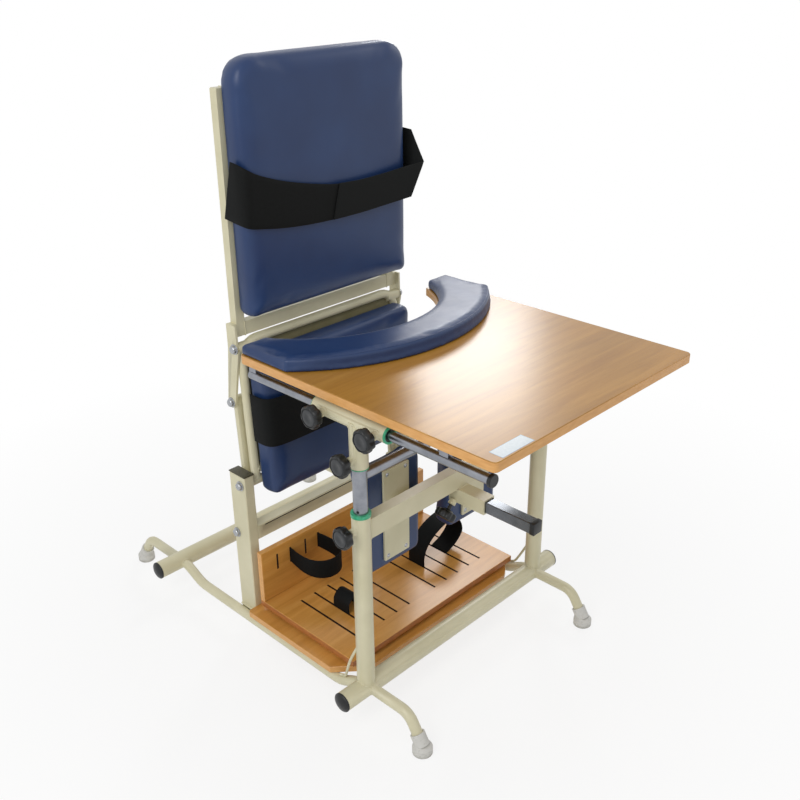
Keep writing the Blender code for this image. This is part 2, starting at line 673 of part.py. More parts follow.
def carriage():
    """Chrome posts that slide in the front posts, the tube between them, and a tee on top of each."""
    for label, side in SIDES:
        x = side * POST_X
        inner = rod((x, POST_Y, INNER_Z[0]), (x, POST_Y, INNER_Z[1]), INNER_R)
        outward = Vector((side * 0.9, -0.42, 0.0))
        axis = Vector((x, POST_Y, LOCK_HOLE_Z))
        cut(inner, rod(axis + outward * INNER_R * 0.7, axis + outward * INNER_R * 1.5, LOCK_HOLE_R, 12))
        finish("inner_post_" + label, inner, CHROME)

        tee = rod((x, POST_Y, TEE_Z), (x, POST_Y, TABLE_RAIL_Z), TEE_R)
        join(tee, rod((x, SLEEVE_Y[0], TABLE_RAIL_Z), (x, SLEEVE_Y[1], TABLE_RAIL_Z), SLEEVE_R),
             rod((x, POST_Y, TEE_KNOB_Z), (x + side * (TEE_R + BOSS), POST_Y, TEE_KNOB_Z), BOSS_R, 16))
        for place, y in RAIL_KNOB_Y:
            join(tee, rod((x, y, TABLE_RAIL_Z), (x + side * (SLEEVE_R + BOSS), y, TABLE_RAIL_Z), BOSS_R, 16))
        cut(tee, rod((x, SLEEVE_Y[0] - 0.01, TABLE_RAIL_Z), (x, SLEEVE_Y[1] + 0.01, TABLE_RAIL_Z),
                     TABLE_RAIL_R + GAP),
            rod((x, POST_Y, TEE_Z - 0.01), (x, POST_Y, INNER_Z[1] + GAP), INNER_R + GAP))
        finish("tee_" + label, tee, PAINT)
    cross = rod((-POST_X, POST_Y, CROSS_TUBE_Z), (POST_X, POST_Y, CROSS_TUBE_Z), CROSS_TUBE_R)
    for label, side in SIDES:
        cut(cross, rod((side * POST_X, POST_Y, 0.66), (side * POST_X, POST_Y, 0.72), INNER_R + GAP))
    finish("cross_tube", cross, CHROME)


def cut_out(rear_y, radius):
    """Arc of the hollow in the rear edge, from the left horn round to the right one."""
    reach = math.degrees(math.acos((CUT_Y - rear_y) / radius))
    return arc((0.0, CUT_Y), radius, -90.0 + reach, -90.0 - reach, 28)


def table():
    """Tabletop with a hollow for the body, the crescent elbow pad round it, and the two rails."""
    half = TABLE_HALF
    front, rear = TABLE_Y
    horn = HORN_CORNER
    outline = arc((-half + TABLE_CORNER, front + TABLE_CORNER), TABLE_CORNER, 180.0, 270.0, 5)
    outline += arc((half - TABLE_CORNER, front + TABLE_CORNER), TABLE_CORNER, 270.0, 360.0, 5)
    outline += arc((half - horn, rear - horn), horn, 0.0, 90.0, 3)
    outline += cut_out(rear, CUT_R)
    outline += arc((-half + horn, rear - horn), horn, 90.0, 180.0, 3)
    finish("tabletop", plate(outline, *TABLE_Z, 2, 0.0015), WOOD)

    edge = half - 0.001
    rear -= 0.004
    swing = math.degrees(math.asin(edge / ELBOW_R))
    outline = arc((0.0, ELBOW_Y), ELBOW_R, -90.0 - swing, -90.0 + swing, 24)
    outline += [(edge, rear)] + cut_out(rear, CUT_R + 0.001) + [(-edge, rear)]
    base = TABLE_Z[1] + GAP
    pad = plate(outline, base, ELBOW_TOP, 2, 0.006, 2)
    # The pad grows thicker from the user's side to its front
    for vert in pad.data.vertices:
        forward = (rear - vert.co.y) / (rear - ELBOW_Y + ELBOW_R)
        vert.co.z += ELBOW_RISE * forward * (vert.co.z - base) / (ELBOW_TOP - base)
    finish("elbow_pad", pad, VINYL)

    for label, side in SIDES:
        x = side * POST_X
        rail_front = TABLE_RAIL_FRONT[label]
        profile = [(0.0, RAIL_CAP_R), (RAIL_CAP, RAIL_CAP_R), (RAIL_CAP + GAP, TABLE_RAIL_R)]
        profile += [(TABLE_RAIL_REAR - rail_front, TABLE_RAIL_R)]
        rail = turned((x, rail_front, TABLE_RAIL_Z), (0, 1, 0), profile)
        for y in SADDLE_Y:
            saddle_z = (TABLE_RAIL_Z, TABLE_Z[0] - GAP)
            join(rail, box((x - SADDLE_HALF, x + SADDLE_HALF), (y, y + SADDLE), saddle_z, 0.001))
        finish("table_rail_" + label, rail, CHROME)


def knee_support():
    arm_z = (ARM_Z - ARM_HALF, ARM_Z + ARM_HALF)
    finish("knee_arm", box((-ARM_HALF, ARM_HALF), ARM_Y, arm_z, 0.0015), CHROME)
    bar_z = (ARM_Z - KNEE_BAR_HALF_HEIGHT, ARM_Z + KNEE_BAR_HALF_HEIGHT)
    bracket = box((-KNEE_BAR_HALF, KNEE_BAR_HALF), KNEE_BAR_Y, bar_z, 0.0015)
    for label, side in SIDES:
        outline = rounded(span(side, *KNEE_PLATE_X), KNEE_PLATE_Z, 0.003, 0.003, 2)
        join(bracket, plate(outline, KNEE_BAR_Y[1] - 0.0005, KNEE_BAR_Y[1] + KNEE_PLATE, 1))
        pad = plate(rounded(span(side, *KNEE_PAD_X), KNEE_PAD_Z, 0.018, 0.018, 4), *KNEE_PAD_Y, 1, 0.014, 2)
        finish("knee_pad_" + label, pad, VINYL)
    finish("knee_bracket", bracket, PAINT)


def clamp_knob(name, place, axis, stem):
    """Lobed knob on its threaded stem. The origin is on the stem's axis, where the stem enters the boss."""
    outline = []
    points = KNOB_LOBES * 4
    for step in range(points):
        turn = 2 * math.pi * step / points
        radius = KNOB_R * (1.0 - 0.075 * (1.0 - math.cos(KNOB_LOBES * turn)) / 2)
        outline.append((radius * math.cos(turn), radius * math.sin(turn)))
    knob = plate(outline, stem, stem + KNOB_THICK, 2, 0.003)
    join(knob, turned((0, 0, stem - 0.004), (0, 0, 1), [(0.0, 0.011), (0.005, 0.014)], 12),
         rod((0, 0, GAP), (0, 0, stem), KNOB_STEM_R, 10))
    knob.data.transform(rotate_to(axis))
    knob.location = place
    finish(name, knob, BLACK)


def clamp_knobs():
    short_stem = 0.011
    long_stem = 0.018
    for label, side in SIDES:
        out = (side, 0, 0)
        for place, y in RAIL_KNOB_Y:
            start = (side * (POST_X + SLEEVE_R + BOSS), y, TABLE_RAIL_Z)
            clamp_knob("knob_rail_" + place + "_" + label, start, out, short_stem)
        start = (side * (POST_X + TEE_R + BOSS), POST_Y, TEE_KNOB_Z)
        clamp_knob("knob_tee_" + label, start, out, short_stem)
        start = (side * (POST_X + POST_R + BOSS), POST_Y, POST_KNOB_Z)
        clamp_knob("knob_post_" + label, start, out, short_stem)
    clamp_knob("knob_knee", below_arm(ARM_BOSS_FROM_AXIS[1]), (-1, 0, -1), long_stem)


clear_scene()
crossbar("front", FRONT_BAR_Y, FRONT_TIP)
crossbar("rear", REAR_BAR_Y, REAR_TIP)
side_rails()
front_posts()
middle_bar()
boards()
foot_straps()
rear_posts()
seat()
back()
links()
carriage()
table()
knee_support()
clamp_knobs()
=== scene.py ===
"""The looks of a sit-to-stand frame: finishes, upholstery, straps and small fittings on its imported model.

Metres, +Z up. The user faces -Y and has +X on the left hand. Every piece stands where the solids put it.
"""

import json
import math

import bmesh
import bpy
from mathutils import Matrix, Vector


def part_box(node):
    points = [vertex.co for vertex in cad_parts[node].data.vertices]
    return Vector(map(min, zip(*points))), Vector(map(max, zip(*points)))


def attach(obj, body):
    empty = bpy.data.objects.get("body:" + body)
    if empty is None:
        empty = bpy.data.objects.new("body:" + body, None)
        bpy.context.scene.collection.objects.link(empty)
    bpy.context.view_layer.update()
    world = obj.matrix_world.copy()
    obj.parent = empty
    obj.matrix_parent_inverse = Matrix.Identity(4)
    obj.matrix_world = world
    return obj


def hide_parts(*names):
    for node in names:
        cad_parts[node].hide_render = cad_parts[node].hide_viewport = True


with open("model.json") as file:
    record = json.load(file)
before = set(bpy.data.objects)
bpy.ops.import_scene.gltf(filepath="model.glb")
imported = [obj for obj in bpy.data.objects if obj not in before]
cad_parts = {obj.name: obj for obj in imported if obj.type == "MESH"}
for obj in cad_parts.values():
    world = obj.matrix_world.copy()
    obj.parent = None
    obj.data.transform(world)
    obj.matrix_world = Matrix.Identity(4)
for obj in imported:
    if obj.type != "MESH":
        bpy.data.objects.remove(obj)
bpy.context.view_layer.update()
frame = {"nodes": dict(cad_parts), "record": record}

SIDES = (("left", 1), ("right", -1))
MM = 0.001
MERGE = 0.01 * MM
FLAT_ANGLE = math.radians(0.4)
GAP = 0.3 * MM
ACROSS, FORWARD, UP = Vector((1, 0, 0)), Vector((0, -1, 0)), Vector((0, 0, 1))

# Camera, from the photograph: place, direction in degrees, lens and sensor in millimetres
CAMERA_PLACE = (-1.6036, -1.6812, 1.7596)
CAMERA_AZIMUTH = -45.568
CAMERA_ELEVATION = 25.445
CAMERA_ROLL = -0.678
CAMERA_LENS = 43.807
SENSOR = 36.0

# Base frame
CROSSBAR_R = 0.025
CROSSBAR_Z = 0.093
CROSSBAR_HALF = 0.425
PLUG_LENGTH = 0.010
BAR_Y = {"front": -0.310, "rear": 0.480}
TIP_X = {"front": 0.331, "rear": 0.338}
FOOT_R = 0.014
RAIL_X = 0.337
RAIL_R = 0.0135
RAIL_Z = 0.058
RAIL_END_DROP = 0.003
POST_X = 0.335
POST_Y = -0.310
POST_R = 0.0225
INNER_R = 0.017
LOCK_HOLE_Z = 0.603
LOCK_HOLE_R = 0.0035
LOCK_HOLE_WAY = (0.9, -0.42)
MIDDLE_HALF = 0.015
MIDDLE_Z = (0.522, 0.574)
BOSS_R = 0.010
BOSS = 0.012

# Rear posts and the linkage. Each pivot is the (y, z) of its axis
REAR_POST_X = (0.2927, 0.3232)
REAR_POST_Y = (0.143, 0.207)
REAR_POST_TOP = 0.495
TIE_GROOVE_Y = (0.1444, 0.1485)
TIE_GROOVE_Z = (0.3285, 0.3325)
SEAT_PIVOT = (0.162, 0.467)
LINK_PIVOT = (0.194, 0.311)
BACK_PIVOT = (0.180, 0.838)
LINK_TOP = (0.212, 0.682)
LEAN = (BACK_PIVOT[0] - SEAT_PIVOT[0]) / (BACK_PIVOT[1] - SEAT_PIVOT[1])
LINK_X = 0.271
TUBE_R = 0.0125
SEAT_LOW_TUBE_Z = 0.497
PANEL_HALF = 2.5 * MM
PANEL_FROM_LINKS = 3 * MM
PIN_R = 0.006
PIN_INNER_X = 0.254
LUG_OUT = 0.2905
WASHER_R = 0.0138
BACK_UPRIGHT_X = 0.2503
BACK_BAR_Y = (0.1833, 0.208)
BACK_BARS_Z = ((0.8645, 0.900), (1.4353, 1.460))

# Boards, their slots and the straps through them. The sag is of a strap's lower and upper edge
UPPER_TOP = 0.120
UPPER_X = 0.318
UPPER_Y = (-0.246, 0.123)
BOARD = 0.018
HEEL_Y = (0.105, 0.123)
HEEL_TOP = 0.275
HEEL_SLOT_X = (0.118, 0.219)
HEEL_SLOT_Z = (0.204, 0.252)
HEEL_STRAP_REACH = 0.100
HEEL_STRAP_BULGE = 0.040
HEEL_STRAP_SAG = (0.032, 0.020)
THROUGH = 4 * MM
TOE_STRAP_Y = -0.101
TOE_STRAP_WIDTH = 0.060
WEB_THICK = 2.4 * MM
WEB_RIM = 0.7 * MM

# Pads: the hip strap, what a board holds of the cloth, the simulation, and the elbow pad's seam
HIP_HALF = 0.272
HIP_STRAP_Z = 0.588
HIP_STRAP_WIDTH = 0.132
HIP_STRAP_DEPTH = 0.071
HELD = 4 * MM
PAD_TRIM = 1 * MM
PRESSURE = 4.0
CLOTH_FRAMES = 20
SEAM_R = 0.489
SEAM_CENTRE_Y = 0.236
SEAM_HALF_ANGLE = 46.0

# Table and tees
TABLE_Z = (0.857, 0.880)
TABLE_RAIL_Z = 0.823
TABLE_RAIL_R = 0.011
TABLE_RAIL_FRONT = {"left": -0.600, "right": -0.686}
TABLE_RAIL_REAR = 0.057
RAIL_CAP = 0.009
RAIL_CAP_R = 0.0145
RAIL_WALL = 2.5 * MM
SADDLE_Y = (-0.575, 0.030)
SADDLE = 0.024
SADDLE_HALF = 0.008
SADDLE_FROM_Z = 0.8335
SLEEVE_R = 0.020
SLEEVE_Y = (-0.405, -0.181)
TEE_R = 0.0215
TEE_Z = 0.712
LABEL_X = (-0.334, -0.236)
LABEL_Y = (-0.7035, -0.6690)
LABEL_BORDER = 1.6 * MM

# Knee support
ARM_HALF = 0.015
ARM_Z = 0.503
ARM_END_Y = -0.556
ARM_SLEEVE_HALF = 0.0195
ARM_SLEEVE_REAR = -0.296
KNEE_PLATE_X = (0.103, 0.190)
KNEE_PLATE_Z = (0.353, 0.608)
KNEE_BAR_END = 0.150
KNEE_BAR_REAR = -0.237
KNEE_BAR_HALF_HEIGHT = 0.0175
SCREW_INSET = 12 * MM

# Clamp knobs
KNOB_R = 0.0278
KNOB_THICK = 0.022
KNOB_LOBES = 7
KNOB_STEPS = 14
KNOB_CAP_SHARE = 0.72
STEM_R = 0.005
SHORT_STEM = 0.011
LONG_STEM = 0.018
RAIL_KNOB_Y = (("rear", -0.222), ("front", -0.385))
TEE_KNOB_Z = 0.735
POST_KNOB_Z = 0.552
KNEE_KNOB_FROM_AXIS = 0.0375

# Weld beads
BEAD_R = 1.9 * MM
BOSS_BEAD_R = 1.3 * MM
SEAT_BEAD_R = 1.5 * MM
LIGHT_BEAD_R = 1.6 * MM
HEAVY_BEAD_R = 2.6 * MM
BEAD_RIPPLE = 3.6 * MM
BEAD_SWELL = (0.88, 1.14)

# Floor and lights
FLOOR_R = 60.0
FLOOR_FADE = (0.7, 1.9)
OBJECT_MIDDLE = (0.0, -0.1, 0.75)
TABLE_MIDDLE = (-0.05, -0.37, 0.88)

# Scale that gives a wave pattern a period of one metre
WAVE = math.pi / 10


def linear(code):
    """An sRGB hex colour as linear RGBA."""
    parts = [int(code[place:place + 2], 16) / 255 for place in (1, 3, 5)]
    return (*[part / 12.92 if part <= 0.04045 else ((part + 0.055) / 1.055) ** 2.4 for part in parts], 1.0)


def add(tree, kind, inputs=None, **settings):
    """Add a node with its settings. Each input is a value, or the output that feeds it."""
    node = tree.nodes.new("ShaderNode" + kind)
    for name, value in settings.items():
        setattr(node, name, value)
    for name, value in (inputs or {}).items():
        if isinstance(value, bpy.types.NodeSocket):
            tree.links.new(value, node.inputs[name])
        else:
            node.inputs[name].default_value = value
    return node


def finish_named(name, uv=None, **sockets):
    """A material of that name with its tree, its shader, and the coordinates for its patterns.

    sockets are the shader's sockets that are the same all over.
    """
    skin = bpy.data.materials.new(name)
    skin.use_nodes = True
    tree = skin.node_tree
    shader = tree.nodes["Principled BSDF"]
    for socket, value in sockets.items():
        shader.inputs[socket.replace("_", " ")].default_value = value
    if uv:
        return skin, tree, shader, add(tree, "UVMap", uv_map=uv).outputs["UV"]
    return skin, tree, shader, add(tree, "TexCoord").outputs["Object"]


def combined(tree, one, other, operation="MULTIPLY"):
    """Two values put together."""
    return add(tree, "Math", {0: one, 1: other}, operation=operation).outputs["Value"]


def colours_between(tree, factor, *stops):
    """A colour ramp on a factor, from (position, hex colour) stops."""
    ramp = add(tree, "ValToRGB", {"Fac": factor})
    marks = ramp.color_ramp.elements
    marks[0].position, marks[0].color = stops[0][0], linear(stops[0][1])
    marks[1].position, marks[1].color = stops[-1][0], linear(stops[-1][1])
    for position, code in stops[1:-1]:
        marks.new(position).color = linear(code)
    return ramp.outputs["Color"]


def levels_between(tree, value, low, high, start=0.0, end=1.0):
    """A value spread from its own range to another."""
    spread = add(tree, "MapRange", {"Value": value, "From Min": start, "From Max": end, "To Min": low,
                                    "To Max": high})
    return spread.outputs["Result"]


def noise(tree, place, size, detail=3.0, roughness=0.5, distortion=0.0):
    """A noise pattern whose largest features are about a size across."""
    made = add(tree, "TexNoise", {"Vector": place, "Scale": 1 / size, "Detail": detail,
                                  "Roughness": roughness, "Distortion": distortion})
    return made.outputs["Fac"]


def cells(tree, place, size, **settings):
    """A pattern of cells of about a size, as the distance from the middle of each."""
    return add(tree, "TexVoronoi", {"Vector": place, "Scale": 1 / size}, **settings).outputs["Distance"]


def drawn_out(tree, place, x, y=1.0):
    """Coordinates that make a pattern longer along X and Y."""
    return add(tree, "Mapping", {"Vector": place, "Scale": (x, y, 1.0)}).outputs["Vector"]


def surface(tree, shader, colour, roughness, height, strength, depth, under=None):
    """Feed a shader its colour, its roughness, and a bump of a real depth, over another bump if given."""
    tree.links.new(colour, shader.inputs["Base Color"])
    tree.links.new(roughness, shader.inputs["Roughness"])
    inputs = {"Height": height, "Strength": strength, "Distance": depth}
    if under:
        inputs["Normal"] = under
    bump = add(tree, "Bump", inputs)
    tree.links.new(bump.outputs["Normal"], shader.inputs["Normal"])


def mottled(name, low, high, gloss, relief, tint, rub=None, grain=None, across=1.0, ends=(0.3, 0.7),
            **sockets):
    """A finish from noise, between two colours: its range of roughness, and its bump's strength and depth.

    tint, rub and grain are the size, detail and roughness of the noise for each. One that isn't given is
    like the one before it. across draws the patterns out over the face of a board, and ends are the levels
    of the tint that show the two colours.
    """
    skin, tree, shader, place = finish_named(name, **sockets)
    if across < 1.0:
        place = drawn_out(tree, place, across, across)
    rub = rub or tint
    grain = grain or rub
    made = {pattern: noise(tree, place, *pattern) for pattern in (tint, rub, grain)}
    colour = colours_between(tree, made[tint], (ends[0], low), (ends[1], high))
    surface(tree, shader, colour, levels_between(tree, made[rub], *gloss), made[grain], *relief)
    return skin


def celled(name, low, high, gloss, relief, size, **settings):
    """A finish from small cells, in the same terms."""
    skin, tree, shader, place = finish_named(name, **settings)
    made = cells(tree, place, size)
    colour = colours_between(tree, made, (0.1, low), (0.8, high))
    surface(tree, shader, colour, levels_between(tree, made, *gloss), made, *relief)
    return skin


def melamine_board(name, dark, middle, light, **sockets):
    """Beech-print melamine pressed on board: soft bands along the grain (X), short dark pores, a sheen."""
    skin, tree, shader, place = finish_named(name, **sockets)
    bands = noise(tree, drawn_out(tree, place, 0.09), 24 * MM, 5.0, 0.6, 0.5)
    broad = noise(tree, drawn_out(tree, place, 0.35), 150 * MM, 2.0)
    # Beech pores are a tenth of a millimetre wide: they are drawn at about a millimetre so that they show
    fleck = cells(tree, drawn_out(tree, place, 0.16), 1.5 * MM)
    pore = levels_between(tree, fleck, 0.84, 1.0, 0.06, 0.30)
    tint = colours_between(tree, bands, (0.28, dark), (0.5, middle), (0.74, light))
    cloud = levels_between(tree, broad, 0.88, 1.08, 0.3, 0.7)
    mixed = add(tree, "Mix", {0: 1.0, 6: tint, 7: combined(tree, pore, cloud)}, data_type="RGBA",
                blend_type="MULTIPLY")
    surface(tree, shader, mixed.outputs[2], levels_between(tree, broad, 0.27, 0.29), pore, 0.05, 0.05 * MM)
    return skin


def upholstery_vinyl():
    """PVC leathercloth over foam: a satin skin with a pebbled grain and soft creases."""
    skin, tree, shader, place = finish_named("upholstery_vinyl", Coat_Weight=0.12, Coat_Roughness=0.30,
                                             Specular_IOR_Level=0.4)
    crease = noise(tree, place, 30 * MM, 5.0, 0.6, 0.6)
    tint = colours_between(tree, noise(tree, place, 140 * MM, 2.0), (0.3, "#17305B"), (0.7, "#1E3966"))
    soft = add(tree, "Bump", {"Height": crease, "Strength": 0.14, "Distance": 1.2 * MM}).outputs["Normal"]
    # The grain of leathercloth is about a millimetre: it is drawn at two so that it shows
    pebble = cells(tree, place, 2 * MM, feature="SMOOTH_F1")
    surface(tree, shader, tint, levels_between(tree, crease, 0.32, 0.48), pebble, 0.18, 0.15 * MM, soft)
    return skin


def woven_webbing():
    """Black polyester strap, woven: ribs along the strap and picks across it, matt and very dark."""
    skin, tree, shader, flat = finish_named("woven_webbing", "strap", Specular_IOR_Level=0.14)
    # The threads are half a millimetre: they are drawn at two and three so that they show
    ribs, picks = (add(tree, "TexWave", {"Vector": flat, "Scale": WAVE / pitch, "Distortion": wander,
                                         "Detail": 1.0}, bands_direction=way).outputs["Fac"]
                   for pitch, wander, way in ((3 * MM, 0.6, "Y"), (2 * MM, 0.8, "X")))
    weave = combined(tree, ribs, picks)
    tint = colours_between(tree, noise(tree, flat, 9 * MM, 6.0, 0.7), (0.3, "#0A0B0B"), (0.75, "#101212"))
    surface(tree, shader, tint, levels_between(tree, weave, 0.65, 0.85), weave, 0.25, 0.25 * MM)
    return skin


def moulded_white_rubber():
    """White rubber foot tip: chalky, and greyer towards its foot."""
    skin, tree, shader, place = finish_named("moulded_white_rubber")
    height = add(tree, "SeparateXYZ", {"Vector": place}).outputs["Z"]
    smudge = noise(tree, place, 9 * MM, 6.0, 0.7)
    lighter_upward = levels_between(tree, height, 0.35, 1.0, 0.0, 14 * MM)
    tint = colours_between(tree, combined(tree, lighter_upward, smudge), (0.12, "#A3A198"), (0.45, "#D2D1CC"))
    surface(tree, shader, tint, levels_between(tree, smudge, 0.5, 0.75), smudge, 0.25, 0.3 * MM)
    return skin


# Polyester powder coat on welded tube: a half gloss, a little dulled by use. Its orange peel is under a
# millimetre, and drawn at 1.6 mm so that it shows
PAINT = mottled("powder_coated_steel", "#D0CAA9", "#DBD5B6", (0.24, 0.44), (0.30, 0.06 * MM),
                (90 * MM, 4.0), (14 * MM, 6.0, 0.7), (1.6 * MM, 1.0))
# Chrome on drawn steel, bright on the posts and rails, and a darker grey copy on the square knee arm
CHROME, DARKER_CHROME = (mottled(name, low, high, gloss, (0.08, 0.02 * MM), (35 * MM, 5.0, 0.65),
                               grain=(1.2 * MM, 2.0), Metallic=1.0)
                       for name, low, high, gloss in (
                           ("chrome_plated_steel", "#84878E", "#9C9FA6", (0.25, 0.36)),
                           ("darker_chrome_steel", "#606367", "#74777C", (0.16, 0.32))))
# Zinc-plated bolts and screws: a soft grey shine with a fine grain
ZINC = mottled("zinc_plated_steel", "#8F9296", "#BDBFC2", (0.18, 0.36), (0.2, 0.03 * MM), (0.8 * MM, 4.0),
               Metallic=1.0)
TABLE_LAMINATE = melamine_board("melamine_beech_board", "#AA762C", "#B68234", "#C28E3E", Coat_Weight=0.15,
                                Coat_Roughness=0.26, Specular_IOR_Level=0.38)
# The lower boards' melamine: a lighter copy of the table's, painted light against the shade they sit in
# under the table
SHADE_LIGHTENED_LAMINATE = melamine_board("melamine_board_lightened_for_shade", "#C58A3E", "#D4984A", "#E0A85A")
# Thin PVC edge band, ironed on: a plainer, more orange beech than the faces, with a soft shine
BANDING = mottled("edge_banding", "#D49A54", "#E2AC6A", (0.34, 0.48), (0.1, 0.05 * MM), (7 * MM, 4.0),
                  across=0.25)
# The foot board's darker, redder edge band, scuffed by shoes
FOOT_BANDING = mottled("foot_board_banding", "#9C5C28", "#B8753A", (0.36, 0.52), (0.15, 0.06 * MM),
                       (7 * MM, 5.0, 0.6), across=0.2)
# Thin hardboard behind the hip pad, sprayed with the same paint. Its dark olive is painted shade: darker
# than the frame's paint, for the shade between the back frame's low bar and the hip pad
SHADED_PANEL = mottled("hardboard_panel_painted_shade", "#86805D", "#989170", (0.5, 0.7), (0.2, 0.2 * MM), (60 * MM, 4.0),
                (3 * MM, 6.0, 0.7), Specular_IOR_Level=0.3)
# Raw particle board inside the slots, painted near black as the shade in the slots
SLOT_SHADE_CORE = celled("board_core_painted_shade", "#1E0C05", "#34180A", (0.75, 0.95), (0.5, 0.3 * MM), 2 * MM)
VINYL = upholstery_vinyl()
# The same leathercloth, rolled over the seam of the elbow pad: a little glossier where it is stretched
WELT = mottled("vinyl_welt", "#17305B", "#213C6B", (0.28, 0.40), (0.2, 0.1 * MM), (1.5 * MM, 2.0))
WEBBING = woven_webbing()
# Hook-and-loop tape sewn over the end of a strap: a dense nap of loops, paler than the webbing
LOOPS = celled("loop_fastener", "#101111", "#191B1B", (0.80, 0.95), (0.4, 0.4 * MM), 1.6 * MM, uv="strap",
               Sheen_Weight=0.04, Sheen_Roughness=0.4, Specular_IOR_Level=0.18)
# Glass-filled black nylon from a spark-eroded mould: a fine matt pebble with rubbed high spots
NYLON = mottled("moulded_nylon", "#0F1112", "#191B1D", (0.26, 0.46), (0.30, 0.12 * MM), (11 * MM, 4.0),
                (6 * MM, 4.0), (0.9 * MM,), ends=(0.3, 0.75), Specular_IOR_Level=0.4)
# The grey nylon cap snapped into a knob's face: smoother than the grip, so it catches the light
CAP = mottled("snapped_in_cap", "#1C1F22", "#292C30", (0.30, 0.44), (0.22, 0.08 * MM), (9 * MM,),
              (0.9 * MM,), ends=(0.3, 0.75))
# Olive-black polyethylene cap pressed into a post: waxy, scuffed, with trodden-in dust
END_CAP = mottled("weathered_end_cap", "#2E2B1E", "#565239", (0.40, 0.62), (0.4, 0.3 * MM),
                  (4 * MM, 6.0, 0.7), ends=(0.35, 0.7))
# Green nylon bush turned on a lathe: waxy, with fine marks from the tool
GREEN = mottled("turned_green_nylon", "#2F9E6E", "#4DB890", (0.30, 0.46), (0.2, 0.1 * MM), (12 * MM,),
                grain=(1.1 * MM,), Subsurface_Weight=0.08, Subsurface_Scale=2 * MM)
RUBBER = moulded_white_rubber()
# Bare film label, glossy and slightly mottled, with a printed border
LABEL, LABEL_EDGE = (mottled(name, low, high, (0.25, 0.4), (0.05, 0.1 * MM), (6 * MM,), Coat_Weight=0.3,
                             Coat_Roughness=0.12)
                     for name, low, high in (("blank_label_film", "#C3CDD2", "#CFD8DC"),
                                             ("label_film_border", "#7FA0B4", "#8CABBD")))
SLOTS = {skin.name: slot for slot, skins in (
    ("cream_paint", (PAINT,)), ("chrome", (CHROME, DARKER_CHROME, ZINC)), ("blue_vinyl", (VINYL, WELT)),
    ("beech_laminate", (TABLE_LAMINATE, SHADE_LIGHTENED_LAMINATE, LABEL)), ("black_webbing", (WEBBING, LOOPS)),
    ("black_plastic", (NYLON, END_CAP)), ("green_nylon", (GREEN,)), ("white_rubber", (RUBBER,)))
         for skin in skins}


def linked(name, data):
    """A new object in the scene."""
    shape = bpy.data.objects.new(name, data)
    bpy.context.scene.collection.objects.link(shape)
    return shape


def evaluated(shape):
    """The object with its modifiers applied."""
    return shape.evaluated_get(bpy.context.evaluated_depsgraph_get())


def piece(name, bm, body, *skins, replaces=(), angle=32.0, closed=True):
    """Put a finished bmesh in the scene as a piece that rides on a body."""
    bmesh.ops.remove_doubles(bm, verts=bm.verts[:], dist=MERGE)
    if closed:
        bmesh.ops.recalc_face_normals(bm, faces=bm.faces[:])
    mesh = bpy.data.meshes.new(name)
    bm.to_mesh(mesh)
    bm.free()
    for skin in skins:
        mesh.materials.append(skin)
    mesh.shade_smooth()
    mesh.set_sharp_from_angle(angle=math.radians(angle))
    shape = linked(name, mesh)
    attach(shape, body)
    if replaces:
        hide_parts(*replaces)
    return shape


def body_of(node):
    """The body that a node of the record rides on."""
    return next(body for body, nodes in frame["record"]["behaviour"]["bodies"].items() if node in nodes)


def at(place, axis=(0, 0, 1)):
    """The matrix that puts a shape made along +Z at a place, along an axis."""
    return Matrix.Translation(place) @ UP.rotation_difference(Vector(axis)).to_matrix().to_4x4()


def turned(bm, profile, place, steps=48, hollow=False):
    """Spin (distance along, radius) places round an axis: closed on it at both ends, or a hollow ring."""
    ends = profile if hollow else [(profile[0][0], 0.0), *profile, (profile[-1][0], 0.0)]
    verts = [bm.verts.new(place @ Vector((radius, 0.0, along))) for along, radius in ends]
    after = verts[1:] + verts[:1] if hollow else verts[1:]
    edges = [bm.edges.new(pair) for pair in zip(verts, after)]
    axis = (place.to_3x3() @ UP).normalized()
    bmesh.ops.spin(bm, geom=verts + edges, cent=place.translation, axis=axis, angle=2 * math.pi,
                   steps=steps, use_merge=True)


def block(bm, low, high, bevel, segments=3):
    """A box between two corners, its edges rounded."""
    low, high = Vector(low), Vector(high)
    size = Matrix.Diagonal((*(high - low), 1.0))
    made = bmesh.ops.create_cube(bm, size=1.0, matrix=Matrix.Translation((low + high) / 2) @ size)
    edges = list({edge for vert in made["verts"] for edge in vert.link_edges})
    bmesh.ops.bevel(bm, geom=edges, offset=bevel, segments=segments, profile=0.5, affect="EDGES",
                    material=-1)


def rod_along(bm, points, radii, closed=False):
    """A round rod through points, with a radius at each, made from a curve with a bevel."""
    curve = bpy.data.curves.new("path", "CURVE")
    curve.dimensions = "3D"
    curve.bevel_depth = 1.0
    curve.bevel_resolution = 2
    curve.use_fill_caps = True
    spline = curve.splines.new("POLY")
    spline.points.add(len(points) - 1)
    spline.use_cyclic_u = closed
    for spot, point, radius in zip(spline.points, points, radii):
        spot.co = (*point, 1.0)
        spot.radius = radius
    holder = linked("path", curve)
    mesh = bpy.data.meshes.new_from_object(evaluated(holder))
    bpy.data.objects.remove(holder, do_unlink=True)
    bm.from_mesh(mesh)
    bpy.data.meshes.remove(mesh)


def evenly(points, pitch, closed):
    """The same path with places a pitch apart."""
    path = [Vector(point) for point in points]
    if closed:
        path.append(path[0])
    spots = [0.0]
    for start, end in zip(path, path[1:]):
        spots.append(spots[-1] + (end - start).length)
    count = max(2, round(spots[-1] / pitch))
    made = []
    leg = 0
    for step in range(count if closed else count + 1):
        reach = spots[-1] * step / count
        while leg < len(path) - 2 and spots[leg + 1] < reach:
            leg += 1
        share = (reach - spots[leg]) / max(spots[leg + 1] - spots[leg], 1e-9)
        made.append(path[leg].lerp(path[leg + 1], min(share, 1.0)))
    return made


